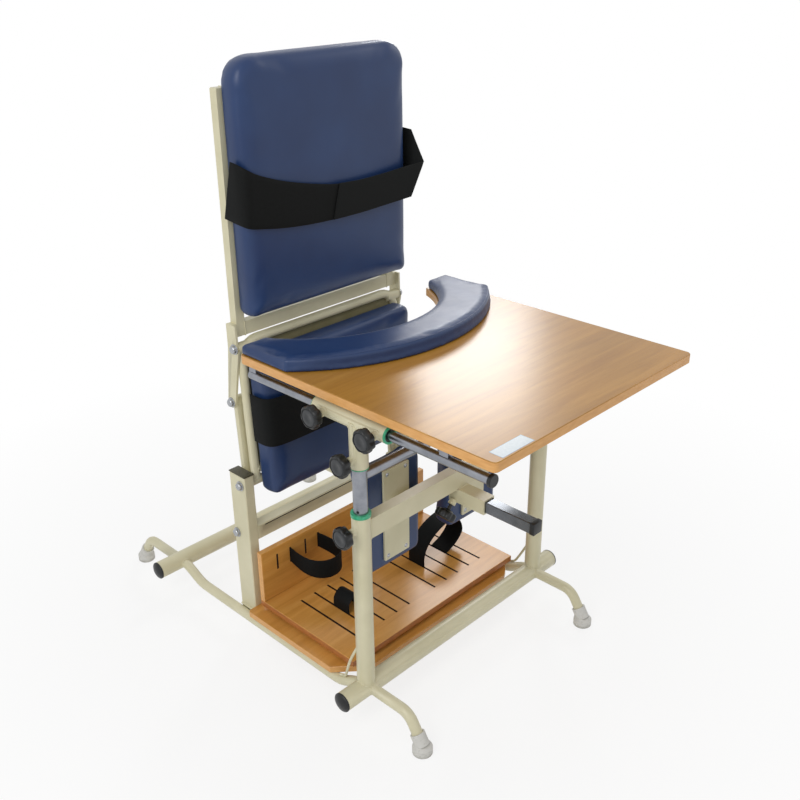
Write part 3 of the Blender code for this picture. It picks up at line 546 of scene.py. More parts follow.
def weld(bm, points, closed=True, size=BEAD_R):
    """A weld bead: a low rod with a ripple every few millimetres."""
    path = evenly(points, BEAD_RIPPLE / 2, closed)
    rod_along(bm, path, [size * BEAD_SWELL[index % 2] for index in range(len(path))], closed)


def where_tubes_meet(centre, out, along_bar, radius, bar_radius, drop=0.0, steps=40):
    """The line where a tube that leaves a bar at right angles meets it, its axis a drop off the bar's."""
    sideways = out.cross(along_bar)
    points = []
    for step in range(steps):
        turn = 2 * math.pi * step / steps
        offset = radius * math.sin(turn) + drop
        rise = math.sqrt(max(bar_radius ** 2 - offset ** 2, 0.0))
        points.append(Vector(centre) + radius * math.cos(turn) * along_bar + offset * sideways + rise * out)
    return points


def rectangle(b, c):
    """Corner places round a rectangle, with the middle of each side."""
    mid = (sum(b) / 2, sum(c) / 2)
    return [(b[0], c[0]), (mid[0], c[0]), (b[1], c[0]), (b[1], mid[1]), (b[1], c[1]), (mid[0], c[1]),
            (b[0], c[1]), (b[0], mid[1])]


def solid_copy(node):
    """A merged copy of a node's mesh, its flat faces made whole again."""
    bm = bmesh.new()
    bm.from_mesh(frame["nodes"][node].data)
    bmesh.ops.remove_doubles(bm, verts=bm.verts[:], dist=MERGE)
    bmesh.ops.dissolve_limit(bm, angle_limit=FLAT_ANGLE, use_dissolve_boundaries=False,
                             verts=bm.verts[:], edges=bm.edges[:])
    return bm


def dressed(node, *skins, chosen=()):
    """A node's own shape as a smooth-shaded piece. Each test picks the faces of one more skin."""
    bm = solid_copy(node)
    bm.normal_update()
    for index, test in enumerate(chosen, 1):
        for face in bm.faces:
            if test(face.calc_center_median(), face.normal):
                face.material_index = index
    return piece(node + "_finish", bm, body_of(node), *skins, replaces=(node,), closed=False)


def steelwork():
    """The painted and plated pieces whose shape is right in the solids."""
    def plug(spot, way):
        return abs(spot.x) > CROSSBAR_HALF - PLUG_LENGTH + MM / 2

    # The groove along the rear tie takes black nylon: painted shade inside the groove
    def shaded_groove(spot, way):
        return (TIE_GROOVE_Y[0] < spot.y < TIE_GROOVE_Y[1] and TIE_GROOVE_Z[0] < spot.z < TIE_GROOVE_Z[1]
                and (way.y < -0.5 or abs(way.z) > 0.5))

    def pin_end(spot, way):
        return abs(spot.x) > LUG_OUT + MM / 10

    def panel(spot, way):
        off = spot.y - SEAT_PIVOT[0] - LEAN * (spot.z - SEAT_PIVOT[1])
        return abs(off) < PANEL_HALF and abs(way.y) > 0.9 and abs(spot.x) < LINK_X - PANEL_FROM_LINKS

    painted = ["middle_bar", "knee_bracket"]
    for label, side in SIDES:
        painted += [kind + label for kind in ("side_rail_", "front_post_", "rear_post_", "link_", "tee_")]
    for node in painted:
        dressed(node, PAINT)
    for end in BAR_Y:
        dressed("crossbar_" + end, PAINT, NYLON, chosen=[plug])
    dressed("rear_tie", PAINT, NYLON, chosen=[shaded_groove])
    dressed("back_frame", PAINT, ZINC, chosen=[pin_end])
    # The thin panel in the seat frame takes the olive finish: painted shade behind the hip pad
    dressed("seat_frame", PAINT, SHADED_PANEL, chosen=[panel])
    dressed("cross_tube", CHROME)
    dressed("knee_arm", DARKER_CHROME)
    for label, side in SIDES:
        dressed("collar_" + label, GREEN)


def sliding_tubes():
    """The chrome inner posts with a black disc of painted shade in each lock hole, and the table rails with
    caps and saddles.
    """
    for label, side in SIDES:
        node = "inner_post_" + label
        low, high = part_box(node)
        bm = bmesh.new()
        turned(bm, [(0.0, INNER_R), (high.z - low.z, INNER_R)], at((side * POST_X, POST_Y, low.z)), 64)
        piece(node + "_finish", bm, "carriage", CHROME, replaces=(node,))
        # A black nylon disc at the lock hole: painted shade for the hole, wrapped onto the post
        bm = bmesh.new()
        outward = Vector((side * LOCK_HOLE_WAY[0], LOCK_HOLE_WAY[1], 0.0)).normalized()
        axis = Vector((side * POST_X, POST_Y, LOCK_HOLE_Z))
        turned(bm, [(INNER_R - MM, LOCK_HOLE_R), (INNER_R, LOCK_HOLE_R), (INNER_R, 0.5 * LOCK_HOLE_R)],
               at(axis, outward), 24)
        for vert in bm.verts:
            # The outer end is wrapped onto the post, so that it slides into the front post with it
            offset = (vert.co - axis).to_2d()
            if offset.length > INNER_R - MM / 10:
                offset *= (INNER_R + 0.03 * MM) / offset.length
                vert.co.xy = axis.to_2d() + offset
        piece("lock_hole_shade_disc_" + label, bm, "carriage", NYLON)

        node = "table_rail_" + label
        front = TABLE_RAIL_FRONT[label]
        length = TABLE_RAIL_REAR - front
        bore = TABLE_RAIL_R - RAIL_WALL
        bm = bmesh.new()
        turned(bm, [(0.0, RAIL_CAP_R - 1.5 * MM), (1.5 * MM, RAIL_CAP_R), (RAIL_CAP - MM, RAIL_CAP_R),
                    (RAIL_CAP, RAIL_CAP_R - MM), (RAIL_CAP + GAP, TABLE_RAIL_R),
                    (length - MM, TABLE_RAIL_R), (length, TABLE_RAIL_R - MM), (length, bore),
                    (length - 3 * MM, bore)], at((side * POST_X, front, TABLE_RAIL_Z), -FORWARD))
        # The front cap and the 3 mm deep bore in the open rear end take black nylon; the bore's black is
        # painted shade inside the tube
        for face in bm.faces:
            spot = face.calc_center_median()
            inside = math.hypot(spot.x - side * POST_X, spot.z - TABLE_RAIL_Z) < bore + MM / 2
            if spot.y < front + RAIL_CAP + GAP or (inside and spot.y > front + RAIL_CAP):
                face.material_index = 1
        for y in SADDLE_Y:
            block(bm, (side * POST_X - SADDLE_HALF, y, SADDLE_FROM_Z),
                  (side * POST_X + SADDLE_HALF, y + SADDLE, TABLE_Z[0] - GAP), MM)
        piece(node + "_finish", bm, "table", CHROME, NYLON, replaces=(node,))


def boss_bead(bm, place, out, along_tube, radius):
    """The light bead round a knob's boss on a tube."""
    weld(bm, where_tubes_meet(place, out, along_tube, BOSS_R, radius), size=BOSS_BEAD_R)


def welds():
    """Weld beads on every joint of the painted tubes, one piece for each body."""
    base, seat, back, carriage, knee = (bmesh.new() for body in range(5))
    for label, side in SIDES:
        out = side * ACROSS
        post = (side * POST_X, BAR_Y["front"], CROSSBAR_Z)
        weld(base, where_tubes_meet(post, UP, ACROSS, POST_R, CROSSBAR_R))
        for end, way in (("front", 1), ("rear", -1)):
            foot = (side * TIP_X[end], BAR_Y[end], CROSSBAR_Z)
            weld(base, where_tubes_meet(foot, way * FORWARD, ACROSS, FOOT_R, CROSSBAR_R))
            rail = (side * RAIL_X, BAR_Y[end], CROSSBAR_Z)
            weld(base, where_tubes_meet(rail, -way * FORWARD, way * ACROSS, RAIL_R, CROSSBAR_R,
                                        RAIL_END_DROP))
        boss_bead(base, (side * POST_X, POST_Y, POST_KNOB_Z), out, UP, POST_R)
        around = []
        for y, z in rectangle((POST_Y - MIDDLE_HALF, POST_Y + MIDDLE_HALF), MIDDLE_Z):
            around.append((side * (POST_X - math.sqrt(POST_R ** 2 - (y - POST_Y) ** 2)), y, z))
        weld(base, around)
        beside = side * (REAR_POST_X[1] + MM / 2)
        weld(base, [(beside, y, RAIL_Z + RAIL_R - MM) for y in REAR_POST_Y], False, HEAVY_BEAD_R)
        sleeve_x = side * ARM_SLEEVE_HALF
        weld(base, [(sleeve_x, y, MIDDLE_Z[0]) for y in (POST_Y - MIDDLE_HALF, ARM_SLEEVE_REAR)], False)

        low_y = SEAT_PIVOT[0] + LEAN * (SEAT_LOW_TUBE_Z - SEAT_PIVOT[1])
        low_tube = (side * LINK_X, low_y, SEAT_LOW_TUBE_Z)
        weld(seat, where_tubes_meet(low_tube, -out, UP, TUBE_R, TUBE_R), size=SEAT_BEAD_R)
        for bar_z in BACK_BARS_Z:
            corners = rectangle(BACK_BAR_Y, bar_z)
            weld(back, [(side * BACK_UPRIGHT_X, y, z) for y, z in corners], size=LIGHT_BEAD_R)

        sleeve = (side * POST_X, POST_Y, TABLE_RAIL_Z)
        weld(carriage, where_tubes_meet(sleeve, -UP, FORWARD, TEE_R, SLEEVE_R))
        boss_bead(carriage, (side * POST_X, POST_Y, TEE_KNOB_Z), out, UP, TEE_R)
        for which, y in RAIL_KNOB_Y:
            boss_bead(carriage, (side * POST_X, y, TABLE_RAIL_Z), out, FORWARD, SLEEVE_R)
        for height in (ARM_Z + KNEE_BAR_HALF_HEIGHT, ARM_Z - KNEE_BAR_HALF_HEIGHT):
            weld(knee, [(side * x, KNEE_BAR_REAR, height) for x in (KNEE_PLATE_X[0], KNEE_BAR_END)],
                 False, LIGHT_BEAD_R)
    weld(base, [(x, POST_Y - MIDDLE_HALF, MIDDLE_Z[0]) for x in (-ARM_SLEEVE_HALF, ARM_SLEEVE_HALF)],
         False, HEAVY_BEAD_R)
    for body, bm in (("base", base), ("seat", seat), ("back", back), ("carriage", carriage),
                     ("knee_support", knee)):
        piece(body + "_weld_beads", bm, body, PAINT, angle=60.0)


def bolt(name, body, x, pivot, side, reach=0.0, replaces=()):
    """A domed nut on a wide washer. Where it stands for a whole bolt, its pin runs in through the eyes."""
    profile = [(-reach, PIN_R), (0.0, PIN_R)] if reach else []
    profile += [(0.0, WASHER_R - 0.6 * MM), (0.5 * MM, WASHER_R), (1.9 * MM, WASHER_R),
                (2.4 * MM, WASHER_R - 0.8 * MM), (2.5 * MM, 10.6 * MM), (7.5 * MM, 10.4 * MM),
                (9.2 * MM, 9.3 * MM), (10.3 * MM, 7.0 * MM), (10.9 * MM, 3.5 * MM)]
    bm = bmesh.new()
    turned(bm, profile, at((side * x, *pivot), (side, 0, 0)), 40)
    piece(name, bm, body, ZINC, replaces=replaces, angle=50.0)


def fittings():
    """Bolts, end caps, bushes, screws and foot tips."""
    for label, side in SIDES:
        out = (side, 0, 0)
        outer = REAR_POST_X[1] + GAP
        for kind, pivot in (("seat_bolt_", SEAT_PIVOT), ("link_bolt_", LINK_PIVOT)):
            bolt(kind + label + "_finish", "base", outer, pivot, side, outer - PIN_INNER_X, (kind + label,))
        for kind, pivot in (("upper", BACK_PIVOT), ("lower", LINK_TOP)):
            bolt("lug_bolt_" + kind + "_" + label, "back", LUG_OUT, pivot, side)

        for end, bar_y in BAR_Y.items():
            dressed("foot_tip_" + end + "_" + label, RUBBER)
            bm = bmesh.new()
            start = at((side * (CROSSBAR_HALF - PLUG_LENGTH), bar_y, CROSSBAR_Z), out)
            turned(bm, [(0.0, CROSSBAR_R + GAP), (2.5 * MM, CROSSBAR_R + GAP),
                        (4.5 * MM, CROSSBAR_R - 1.5 * MM), (7.2 * MM, CROSSBAR_R - 7 * MM),
                        (9.2 * MM, CROSSBAR_R - 13 * MM), (9.9 * MM, CROSSBAR_R - 19 * MM)], start)
            piece("crossbar_plug_" + end + "_" + label, bm, "base", NYLON, angle=50.0)

        bm = bmesh.new()
        over = 1.2 * MM
        xs = sorted((side * (REAR_POST_X[0] - over), side * (REAR_POST_X[1] + over)))
        block(bm, (xs[0], REAR_POST_Y[0] - over, REAR_POST_TOP + GAP),
              (xs[1], REAR_POST_Y[1] + over, REAR_POST_TOP + 3 * over), over)
        piece("rear_post_cap_" + label, bm, "base", END_CAP)

        bm = bmesh.new()
        for y, way, thick in ((SLEEVE_Y[0], -1, 4 * MM), (SLEEVE_Y[1], 1, 1.6 * MM)):
            mouth = at((side * POST_X, y, TABLE_RAIL_Z), (0, way, 0))
            turned(bm, [(GAP / 2, SLEEVE_R - 5.2 * MM), (GAP / 2, SLEEVE_R + 0.3 * MM),
                        (thick - MM, SLEEVE_R + 0.3 * MM), (thick, SLEEVE_R - 0.8 * MM),
                        (thick, SLEEVE_R - 4.4 * MM), (thick - 0.8 * MM, SLEEVE_R - 5.2 * MM)], mouth,
                   hollow=True)
        under = at((side * POST_X, POST_Y, TEE_Z), -UP)
        turned(bm, [(GAP / 2, INNER_R + GAP), (GAP / 2, TEE_R + 0.4 * MM), (2.2 * MM, TEE_R + 0.4 * MM),
                    (3.0 * MM, TEE_R - 0.6 * MM), (3.0 * MM, INNER_R + GAP)], under, hollow=True)
        piece("tee_bushes_" + label, bm, "carriage", GREEN, angle=40.0)
        # A thin black ring in the front mouth of each sleeve, round the rail: painted shade for the gap
        # between the rail and the sleeve
        bm = bmesh.new()
        mouth = at((side * POST_X, SLEEVE_Y[0], TABLE_RAIL_Z), FORWARD)
        turned(bm, [(GAP / 2, TABLE_RAIL_R + 0.4 * MM), (GAP / 2, SLEEVE_R - 5.3 * MM),
                    (1.2 * MM, SLEEVE_R - 5.3 * MM), (1.2 * MM, TABLE_RAIL_R + 0.4 * MM)], mouth,
               hollow=True)
        piece("tee_wiper_" + label, bm, "carriage", NYLON, angle=40.0)

        bm = bmesh.new()
        for x in KNEE_PLATE_X:
            for z in KNEE_PLATE_Z:
                x_in = x + math.copysign(SCREW_INSET, sum(KNEE_PLATE_X) / 2 - x)
                z_in = z + math.copysign(SCREW_INSET, sum(KNEE_PLATE_Z) / 2 - z)
                head = at((side * x_in, KNEE_BAR_REAR, z_in), FORWARD)
                turned(bm, [(0.0, 5.6 * MM), (0.5 * MM, 5.8 * MM), (0.9 * MM, 4.4 * MM),
                            (1.9 * MM, 4.0 * MM), (2.8 * MM, 2.6 * MM), (3.1 * MM, MM)], head, 24)
        piece("knee_plate_screws_" + label, bm, "knee_support", ZINC, angle=50.0)

    bm = bmesh.new()
    half = ARM_HALF + 0.9 * MM
    lip = 1.6 * MM
    block(bm, (-half, ARM_END_Y - lip, ARM_Z - half), (half, ARM_END_Y + 12 * MM, ARM_Z + half), lip)
    piece("knee_arm_end_cap", bm, "knee_support", NYLON)


def knob(name, place, axis, stem):
    """Lobed clamp knob: a scalloped grip with a rounded shoulder, a grey cap in its face, and its stem."""
    bm = bmesh.new()
    points = KNOB_LOBES * KNOB_STEPS

    def edge_ring(height, share, depth):
        """The edges round the grip at a height, at a share of its radius, scalloped by a depth."""
        verts = []
        for step in range(points):
            turn = 2 * math.pi * step / points
            wave = 0.5 - 0.5 * math.cos(KNOB_LOBES * turn)
            radius = KNOB_R * share * (1.0 - depth * wave ** 1.6)
            verts.append(bm.verts.new((radius * math.cos(turn), radius * math.sin(turn), height)))
        return [bm.edges.new((verts[step - 1], verts[step])) for step in range(points)]

    rear, front = stem, stem + KNOB_THICK
    levels = [(rear - 3.5 * MM, 0.40, 0.0), (rear - 1.5 * MM, 0.46, 0.0), (rear + 0.5 * MM, 0.62, 0.02),
              (rear + 1.5 * MM, 0.88, 0.08), (rear + 3.5 * MM, 0.97, 0.105), (rear + 8 * MM, 1.0, 0.12),
              (front - 8 * MM, 1.0, 0.12), (front - 4.5 * MM, 0.985, 0.11), (front - 2 * MM, 0.94, 0.09),
              (front - 0.5 * MM, 0.87, 0.05), (front, 0.80, 0.01), (front - 0.2 * MM, 0.765, 0.0),
              (front - 1.8 * MM, 0.74, 0.0), (front - 1.8 * MM, 0.71, 0.0), (front - 0.7 * MM, 0.695, 0.0),
              (front - 0.4 * MM, 0.66, 0.0), (front - 0.6 * MM, 0.30, 0.0), (front - 1.1 * MM, 0.26, 0.0)]
    rings = [edge_ring(*level) for level in levels]
    for low, high in zip(rings, rings[1:]):
        bmesh.ops.bridge_loops(bm, edges=low + high)
    bmesh.ops.contextual_create(bm, geom=rings[0])
    bmesh.ops.contextual_create(bm, geom=rings[-1])
    for face in bm.faces:
        spot = face.calc_center_median()
        if spot.z > front - 2 * MM and spot.to_2d().length < KNOB_R * KNOB_CAP_SHARE:
            face.material_index = 1
    bm.transform(at(place, axis))
    turned(bm, [(GAP, STEM_R), (stem, STEM_R)], at(place, axis), 16)
    piece(name + "_finish", bm, name, NYLON, CAP, replaces=(name,), angle=40.0)


def knobs():
    """The nine clamp knobs."""
    for label, side in SIDES:
        out = (side, 0, 0)
        for which, y in RAIL_KNOB_Y:
            knob("knob_rail_" + which + "_" + label, (side * (POST_X + SLEEVE_R + BOSS), y, TABLE_RAIL_Z),
                 out, SHORT_STEM)
        knob("knob_tee_" + label, (side * (POST_X + TEE_R + BOSS), POST_Y, TEE_KNOB_Z), out, SHORT_STEM)
        knob("knob_post_" + label, (side * (POST_X + POST_R + BOSS), POST_Y, POST_KNOB_Z), out, SHORT_STEM)
    reach = KNEE_KNOB_FROM_AXIS * math.sqrt(0.5)
    knob("knob_knee", (-reach, POST_Y, ARM_Z - reach), (-1, 0, -1), LONG_STEM)


def boards():
    """Laminated faces with banded edges, raw board inside the slots painted near black as their shade, and
    a bare label on the table.
    """
    inset = 5 * MM

    def edge(spot, way):
        return abs(way.z) < 0.5

    def slot_wall(spot, way):
        return (edge(spot, way) and abs(spot.x) < UPPER_X - inset and spot.z > UPPER_TOP - BOARD
                and UPPER_Y[0] + inset < spot.y < UPPER_Y[1] - inset)

    def upright_edge(spot, way):
        return abs(way.y) < 0.5

    def upright_slot_wall(spot, way):
        return (upright_edge(spot, way) and abs(spot.x) < UPPER_X - inset
                and UPPER_TOP + inset < spot.z < HEEL_TOP - inset)

    dressed("tabletop", TABLE_LAMINATE, BANDING, chosen=[edge])
    dressed("lower_board", SHADE_LIGHTENED_LAMINATE, BANDING, chosen=[edge])
    # The slot walls take the near black of painted shade
    dressed("foot_board", SHADE_LIGHTENED_LAMINATE, FOOT_BANDING, SLOT_SHADE_CORE, chosen=[edge, slot_wall])
    dressed("heel_board", SHADE_LIGHTENED_LAMINATE, BANDING, SLOT_SHADE_CORE, chosen=[upright_edge, upright_slot_wall])

    bm = bmesh.new()
    block(bm, (LABEL_X[0], LABEL_Y[0], TABLE_Z[1] + 0.02 * MM),
          (LABEL_X[1], LABEL_Y[1], TABLE_Z[1] + 0.25 * MM), 0.08 * MM, 1)
    top = max(bm.faces, key=lambda face: face.calc_center_median().z)
    bmesh.ops.inset_region(bm, faces=[top], thickness=LABEL_BORDER)
    for face in bm.faces:
        face.material_index = 1
    top.material_index = 0
    piece("table_label", bm, "table", LABEL, LABEL_EDGE)


def drawn_in(low, high, board_y, sink=5 * MM, lean=0.0):
    """How a pad's solid shrinks before it is stuffed: towards its board, and a trim off its outline.

    lean is the slope of the board, in Y for each metre up.
    """
    middle, half = (low + high) / 2, (high - low) / 2
    depth = half.y * 2 - abs(lean) * half.z * 2

    def move(spot, way):
        height = middle.z + (spot.z - middle.z) * (1.0 - PAD_TRIM / half.z)
        x = middle.x + (spot.x - middle.x) * (1.0 - PAD_TRIM / half.x)
        proud = spot.y - board_y - lean * (spot.z - high.z)
        return Vector((x, board_y + lean * (height - high.z) + proud * (1.0 - sink / depth), height))

    return move


def stuffed(name, node, body, held, move, voxel, cap, smoothing):
    """A pad: its solid drawn in, remeshed, and blown up as cloth while its back stays on its board.

    held says which places of the cloth the board holds, and move where the other ones start. voxel is the
    size of its mesh, and cap the most that it rises.
    """
    bm = solid_copy(node)
    bm.normal_update()
    moved = {vert: move(vert.co, vert.normal) for vert in bm.verts if not held(vert.co)}
    for vert, place in moved.items():
        vert.co = place
    bmesh.ops.triangulate(bm, faces=bm.faces[:])
    shape = piece(name, bm, body, VINYL, replaces=(node,), angle=180.0, closed=False)
    grid = shape.modifiers.new("grid", "REMESH")
    grid.mode = "VOXEL"
    grid.voxel_size = voxel
    mesh = bpy.data.meshes.new_from_object(evaluated(shape))
    shape.modifiers.clear()
    shape.data = mesh
    fixed = shape.vertex_groups.new(name="held")
    fixed.add([vert.index for vert in mesh.vertices if held(vert.co)], 1.0, "REPLACE")
    cloth = shape.modifiers.new("cloth", "CLOTH")
    cloth.settings.use_pressure = True
    cloth.settings.uniform_pressure_force = PRESSURE
    cloth.settings.effector_weights.gravity = 0.0
    cloth.settings.vertex_group_mass = "held"
    cloth.settings.quality = 4
    cloth.point_cache.frame_end = CLOTH_FRAMES
    for step in range(1, CLOTH_FRAMES + 1):
        bpy.context.scene.frame_set(step)
    blown = evaluated(shape).to_mesh()
    moved = [vert.co.copy() for vert in blown.vertices]
    shape.modifiers.clear()
    shape.vertex_groups.clear()
    bpy.context.scene.frame_set(1)
    for vert, end in zip(mesh.vertices, moved):
        way = end - vert.co
        if way.length > 1e-9:
            vert.co += way.normalized() * cap * math.tanh(way.length / cap)
    bm = bmesh.new()
    bm.from_mesh(mesh)
    free = [vert for vert in bm.verts if not held(vert.co)]
    for turn in range(smoothing):
        bmesh.ops.smooth_vert(bm, verts=free, factor=0.5, use_axis_x=True, use_axis_y=True, use_axis_z=True)
    bm.to_mesh(mesh)
    bm.free()
    mesh.shade_smooth()
    fine = shape.modifiers.new("fine", "SUBSURF")
    fine.levels = 1
    fine.render_levels = 1


def pads():
    """The five upholstered pads."""
    hip_low, hip_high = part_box("hip_pad")
    back_low, back_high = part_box("back_pad")
    knee_low, knee_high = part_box("knee_pad_left")
    elbow_low, elbow_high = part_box("elbow_pad")

    stuffed("back_cushion", "back_pad", "back", lambda spot: spot.y > back_high.y - HELD,
            drawn_in(back_low, back_high, back_high.y), 6 * MM, cap=6 * MM, smoothing=6)
    stuffed("hip_cushion", "hip_pad", "seat",
            lambda spot: spot.y > hip_high.y - LEAN * (hip_high.z - spot.z) - HELD,
            drawn_in(hip_low, hip_high, hip_high.y, lean=LEAN), 6 * MM, cap=6 * MM, smoothing=6)
    for label, side in SIDES:
        node = "knee_pad_" + label
        stuffed("knee_cushion_" + label, node, "knee_support", lambda spot: spot.y < knee_low.y + HELD,
                drawn_in(*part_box(node), knee_low.y, sink=4 * MM), 4 * MM, cap=7 * MM, smoothing=5)

    def lowered(spot, way):
        height = elbow_low.z + (spot.z - elbow_low.z) * (1.0 - 2.5 * MM / (elbow_high.z - elbow_low.z))
        return Vector((spot.x - way.x * 2 * MM, spot.y - way.y * 2 * MM, height))

    stuffed("elbow_cushion", "elbow_pad", "table", lambda spot: spot.z < elbow_low.z + HELD, lowered,
            4 * MM, cap=4 * MM, smoothing=3)


def smooth(corners, steps):
    """Places along a smooth curve through its corners, with a number of steps from each one to the next."""
    ends = [Vector(place) for place in [corners[0]] + list(corners) + [corners[-1]]]
    places = []
    for before, start, end, after in zip(ends, ends[1:], ends[2:], ends[3:]):
        leaving = (end - before) / 2
        arriving = (after - start) / 2
        for step in range(steps):
            share = step / steps
            eased = share * share * (3.0 - 2.0 * share)
            bow = leaving * share * (1.0 - share) ** 2 - arriving * share ** 2 * (1.0 - share)
            places.append(start.lerp(end, eased) + bow)
    return places + [Vector(corners[-1])]


def band(name, body, lows, highs, across, skin=None, replaces=()):
    """A flat strap drawn across from its one edge to its other, with its own UV map in metres."""
    bm = bmesh.new()
    flat = bm.loops.layers.uv.new("strap")
    lower = [bm.verts.new(place) for place in lows]
    edges = [bm.edges.new(pair) for pair in zip(lower, lower[1:])]
    made = bmesh.ops.extrude_edge_only(bm, edges=edges)["geom"]
    station = {vert: index for index, vert in enumerate(lower)}
    upper = [item for item in made if isinstance(item, bmesh.types.BMVert)]
    for vert in upper:
        station[vert] = min(range(len(lows)), key=lambda index: (vert.co - lower[index].co).length)
    for vert in upper:
        vert.co = highs[station[vert]]
    middles = [(Vector(low) + Vector(high)) / 2 for low, high in zip(lows, highs)]
    along = [0.0]
    for start, end in zip(middles, middles[1:]):
        along.append(along[-1] + (end - start).length)
    widths = [(Vector(high) - Vector(low)).length for low, high in zip(lows, highs)]
    for face in bm.faces:
        for loop in face.loops:
            index = station[loop.vert]
            loop[flat].uv = (along[index], widths[index] if loop.vert in upper else 0.0)
    cross = [edge for edge in bm.edges if (edge.verts[0] in upper) != (edge.verts[1] in upper)]
    bmesh.ops.subdivide_edges(bm, edges=cross, cuts=across - 1, use_grid_fill=True)
    cut = (max(widths), along[-1])
    area = min(sum(face.calc_area() for face in bm.faces), cut[0] * cut[1])
    shape = piece(name, bm, body, skin or WEBBING, replaces=replaces, angle=60.0, closed=False)
    thick = shape.modifiers.new("thickness", "SOLIDIFY")
    thick.thickness = WEB_THICK
    thick.offset = 0.0
    rim = shape.modifiers.new("rim", "BEVEL")
    rim.width = WEB_RIM
    rim.segments = 2
    rim.limit_method = "ANGLE"


def chest_strap():
    """The chest strap's two lengths, hooked over each other in front: they sag, and one folds back."""
    # Stations as x, y, and the heights of the lower and the upper edge
    left = [(-0.279, 0.125, 1.158, 1.300), (-0.268, 0.1065, 1.152, 1.290), (-0.235, 0.103, 1.146, 1.272),
            (-0.17, 0.101, 1.136, 1.249), (-0.09, 0.1005, 1.129, 1.229), (-0.01, 0.100, 1.126, 1.214),
            (0.040, 0.099, 1.126, 1.211)]
    right = [(-0.005, 0.0965, 1.1265, 1.2135), (0.08, 0.096, 1.127, 1.211), (0.16, 0.094, 1.131, 1.214),
             (0.23, 0.091, 1.135, 1.219)]
    steps = 6
    lows = smooth([(-0.279, 0.187, 1.165)] + [(x, y, low) for x, y, low, high in left], steps)
    highs = smooth([(-0.279, 0.149, 1.303)] + [(x, y, high) for x, y, low, high in left], steps)
    band("chest_strap_band", "back", lows, highs, 8,
         replaces=("chest_strap",))

    # The right length starts askew, and each of its edges turns at three corners where it folds back
    skew = 0.012
    low_fold = [(0.252, 0.088, 1.137), (0.284, 0.125, 1.165), (0.2795, 0.205, 1.180)]
    high_fold = [(0.300, 0.086, 1.223), (0.289, 0.1216, 1.303), (0.2795, 0.205, 1.312)]
    lows = smooth([(x - skew * (x < 0), y, low) for x, y, low, high in right] + low_fold[:1], steps)
    highs = smooth([(x + skew * (x < 0), y, high) for x, y, low, high in right] + high_fold[:1], steps)
    for places, fold in ((lows, low_fold), (highs, high_fold)):
        for start, end in zip(fold, fold[1:]):
            places += [Vector(start).lerp(Vector(end), (step + 1) / steps) for step in range(steps)]
    band("chest_strap_end", "back", lows, highs, 8,
         skin=LOOPS)


def hip_strap():
    """The strap round the hip pad, flat across its front and round its sides."""
    low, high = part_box("hip_strap")
    steps = 64
    squareness, bow = 0.18, 0.35
    lows = []
    for step in range(steps + 1):
        turn = math.pi * step / steps
        squared = math.copysign(abs(math.cos(turn)) ** squareness, math.cos(turn))
        y = low.y + 1.5 * MM + HIP_STRAP_DEPTH * (1 - math.sin(turn) ** bow)
        lows.append(Vector(((HIP_HALF + 4 * MM) * squared, y, HIP_STRAP_Z)))
    width = Vector((0, LEAN, 1)) * HIP_STRAP_WIDTH
    band("hip_strap_band", "seat", lows, [place + width for place in lows], 8,
         replaces=("hip_strap",))


def foot_straps():
    """Heel straps through the heel board, and toe straps over the foot board."""
    arch = UPPER_TOP + 2 * MM
    under = UPPER_TOP - BOARD + 2 * MM
    toe_paths = {"left": [(0.196, arch), (0.236, 0.138), (0.265, 0.168), (0.252, 0.210), (0.215, 0.229),
                          (0.160, 0.216), (0.118, 0.187), (0.101, 0.155), (0.100, arch)],
                 "right": [(0.196, arch), (0.194, 0.150), (0.172, 0.167), (0.150, 0.150), (0.148, arch)]}
    inner, outer = HEEL_SLOT_X
    bottom, top = HEEL_SLOT_Z[0] + MM, HEEL_SLOT_Z[1] - MM
    behind = HEEL_Y[1] + THROUGH
    steps, fullness = 32, 0.7
    for label, side in SIDES:
        lows = [(side * outer, behind, bottom)]
        highs = [(side * outer, behind, top)]
        for step in range(steps + 1):
            turn = math.pi * step / steps
            reach = math.sin(turn) ** fullness
            inward = 0.5 - 0.5 * math.cos(turn)
            x = outer + (inner - outer) * inward - HEEL_STRAP_BULGE * reach * inward
            y = HEEL_Y[0] - 2 * MM - HEEL_STRAP_REACH * reach
            lows.append((side * x, y, bottom - HEEL_STRAP_SAG[0] * reach))
            highs.append((side * x, y, top - HEEL_STRAP_SAG[1] * reach))
        lows.append((side * inner, behind, bottom))
        highs.append((side * inner, behind, top))
        band("heel_strap_band_" + label, "base", lows, highs, 4,
             replaces=("heel_strap_" + label,))

        corners = toe_paths[label]
        path = [(corners[0][0], under)] + smooth(corners, 5) + [(corners[-1][0], under)]
        lows = [(side * place[0], TOE_STRAP_Y, place[1]) for place in path]
        highs = [Vector(place) + Vector((0, TOE_STRAP_WIDTH, 0)) for place in lows]
        band("toe_strap_band_" + label, "base", lows, highs, 4,
             replaces=("toe_strap_" + label,))


def elbow_seam():
    """The stitched edge of the elbow pad, laid on the cushion along the top of its outer wall."""
    cushion = bpy.data.objects["elbow_cushion"]
    low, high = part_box("elbow_pad")
    points = []
    steps = 60
    for step in range(steps + 1):
        turn = math.radians(-90.0 - SEAM_HALF_ANGLE + 2 * SEAM_HALF_ANGLE * step / steps)
        start = Vector((SEAM_R * math.cos(turn), SEAM_CENTRE_Y + SEAM_R * math.sin(turn), high.z + 4 * MM))
        found, spot, way, index = cushion.closest_point_on_mesh(start)
        points.append(spot - way * 0.2 * MM)
    bm = bmesh.new()
    path = evenly(points, 3 * MM, False)
    rod_along(bm, path, [1.1 * MM] * len(path))
    piece("elbow_cushion_seam", bm, "table", WELT, angle=60.0)


def seen_directly(tree):
    """1 for rays from the camera, and for those in reflections and through glass."""
    path = add(tree, "LightPath").outputs
    first = combined(tree, path["Is Camera Ray"], path["Is Glossy Ray"], "MAXIMUM")
    return combined(tree, first, path["Is Transmission Ray"], "MAXIMUM")


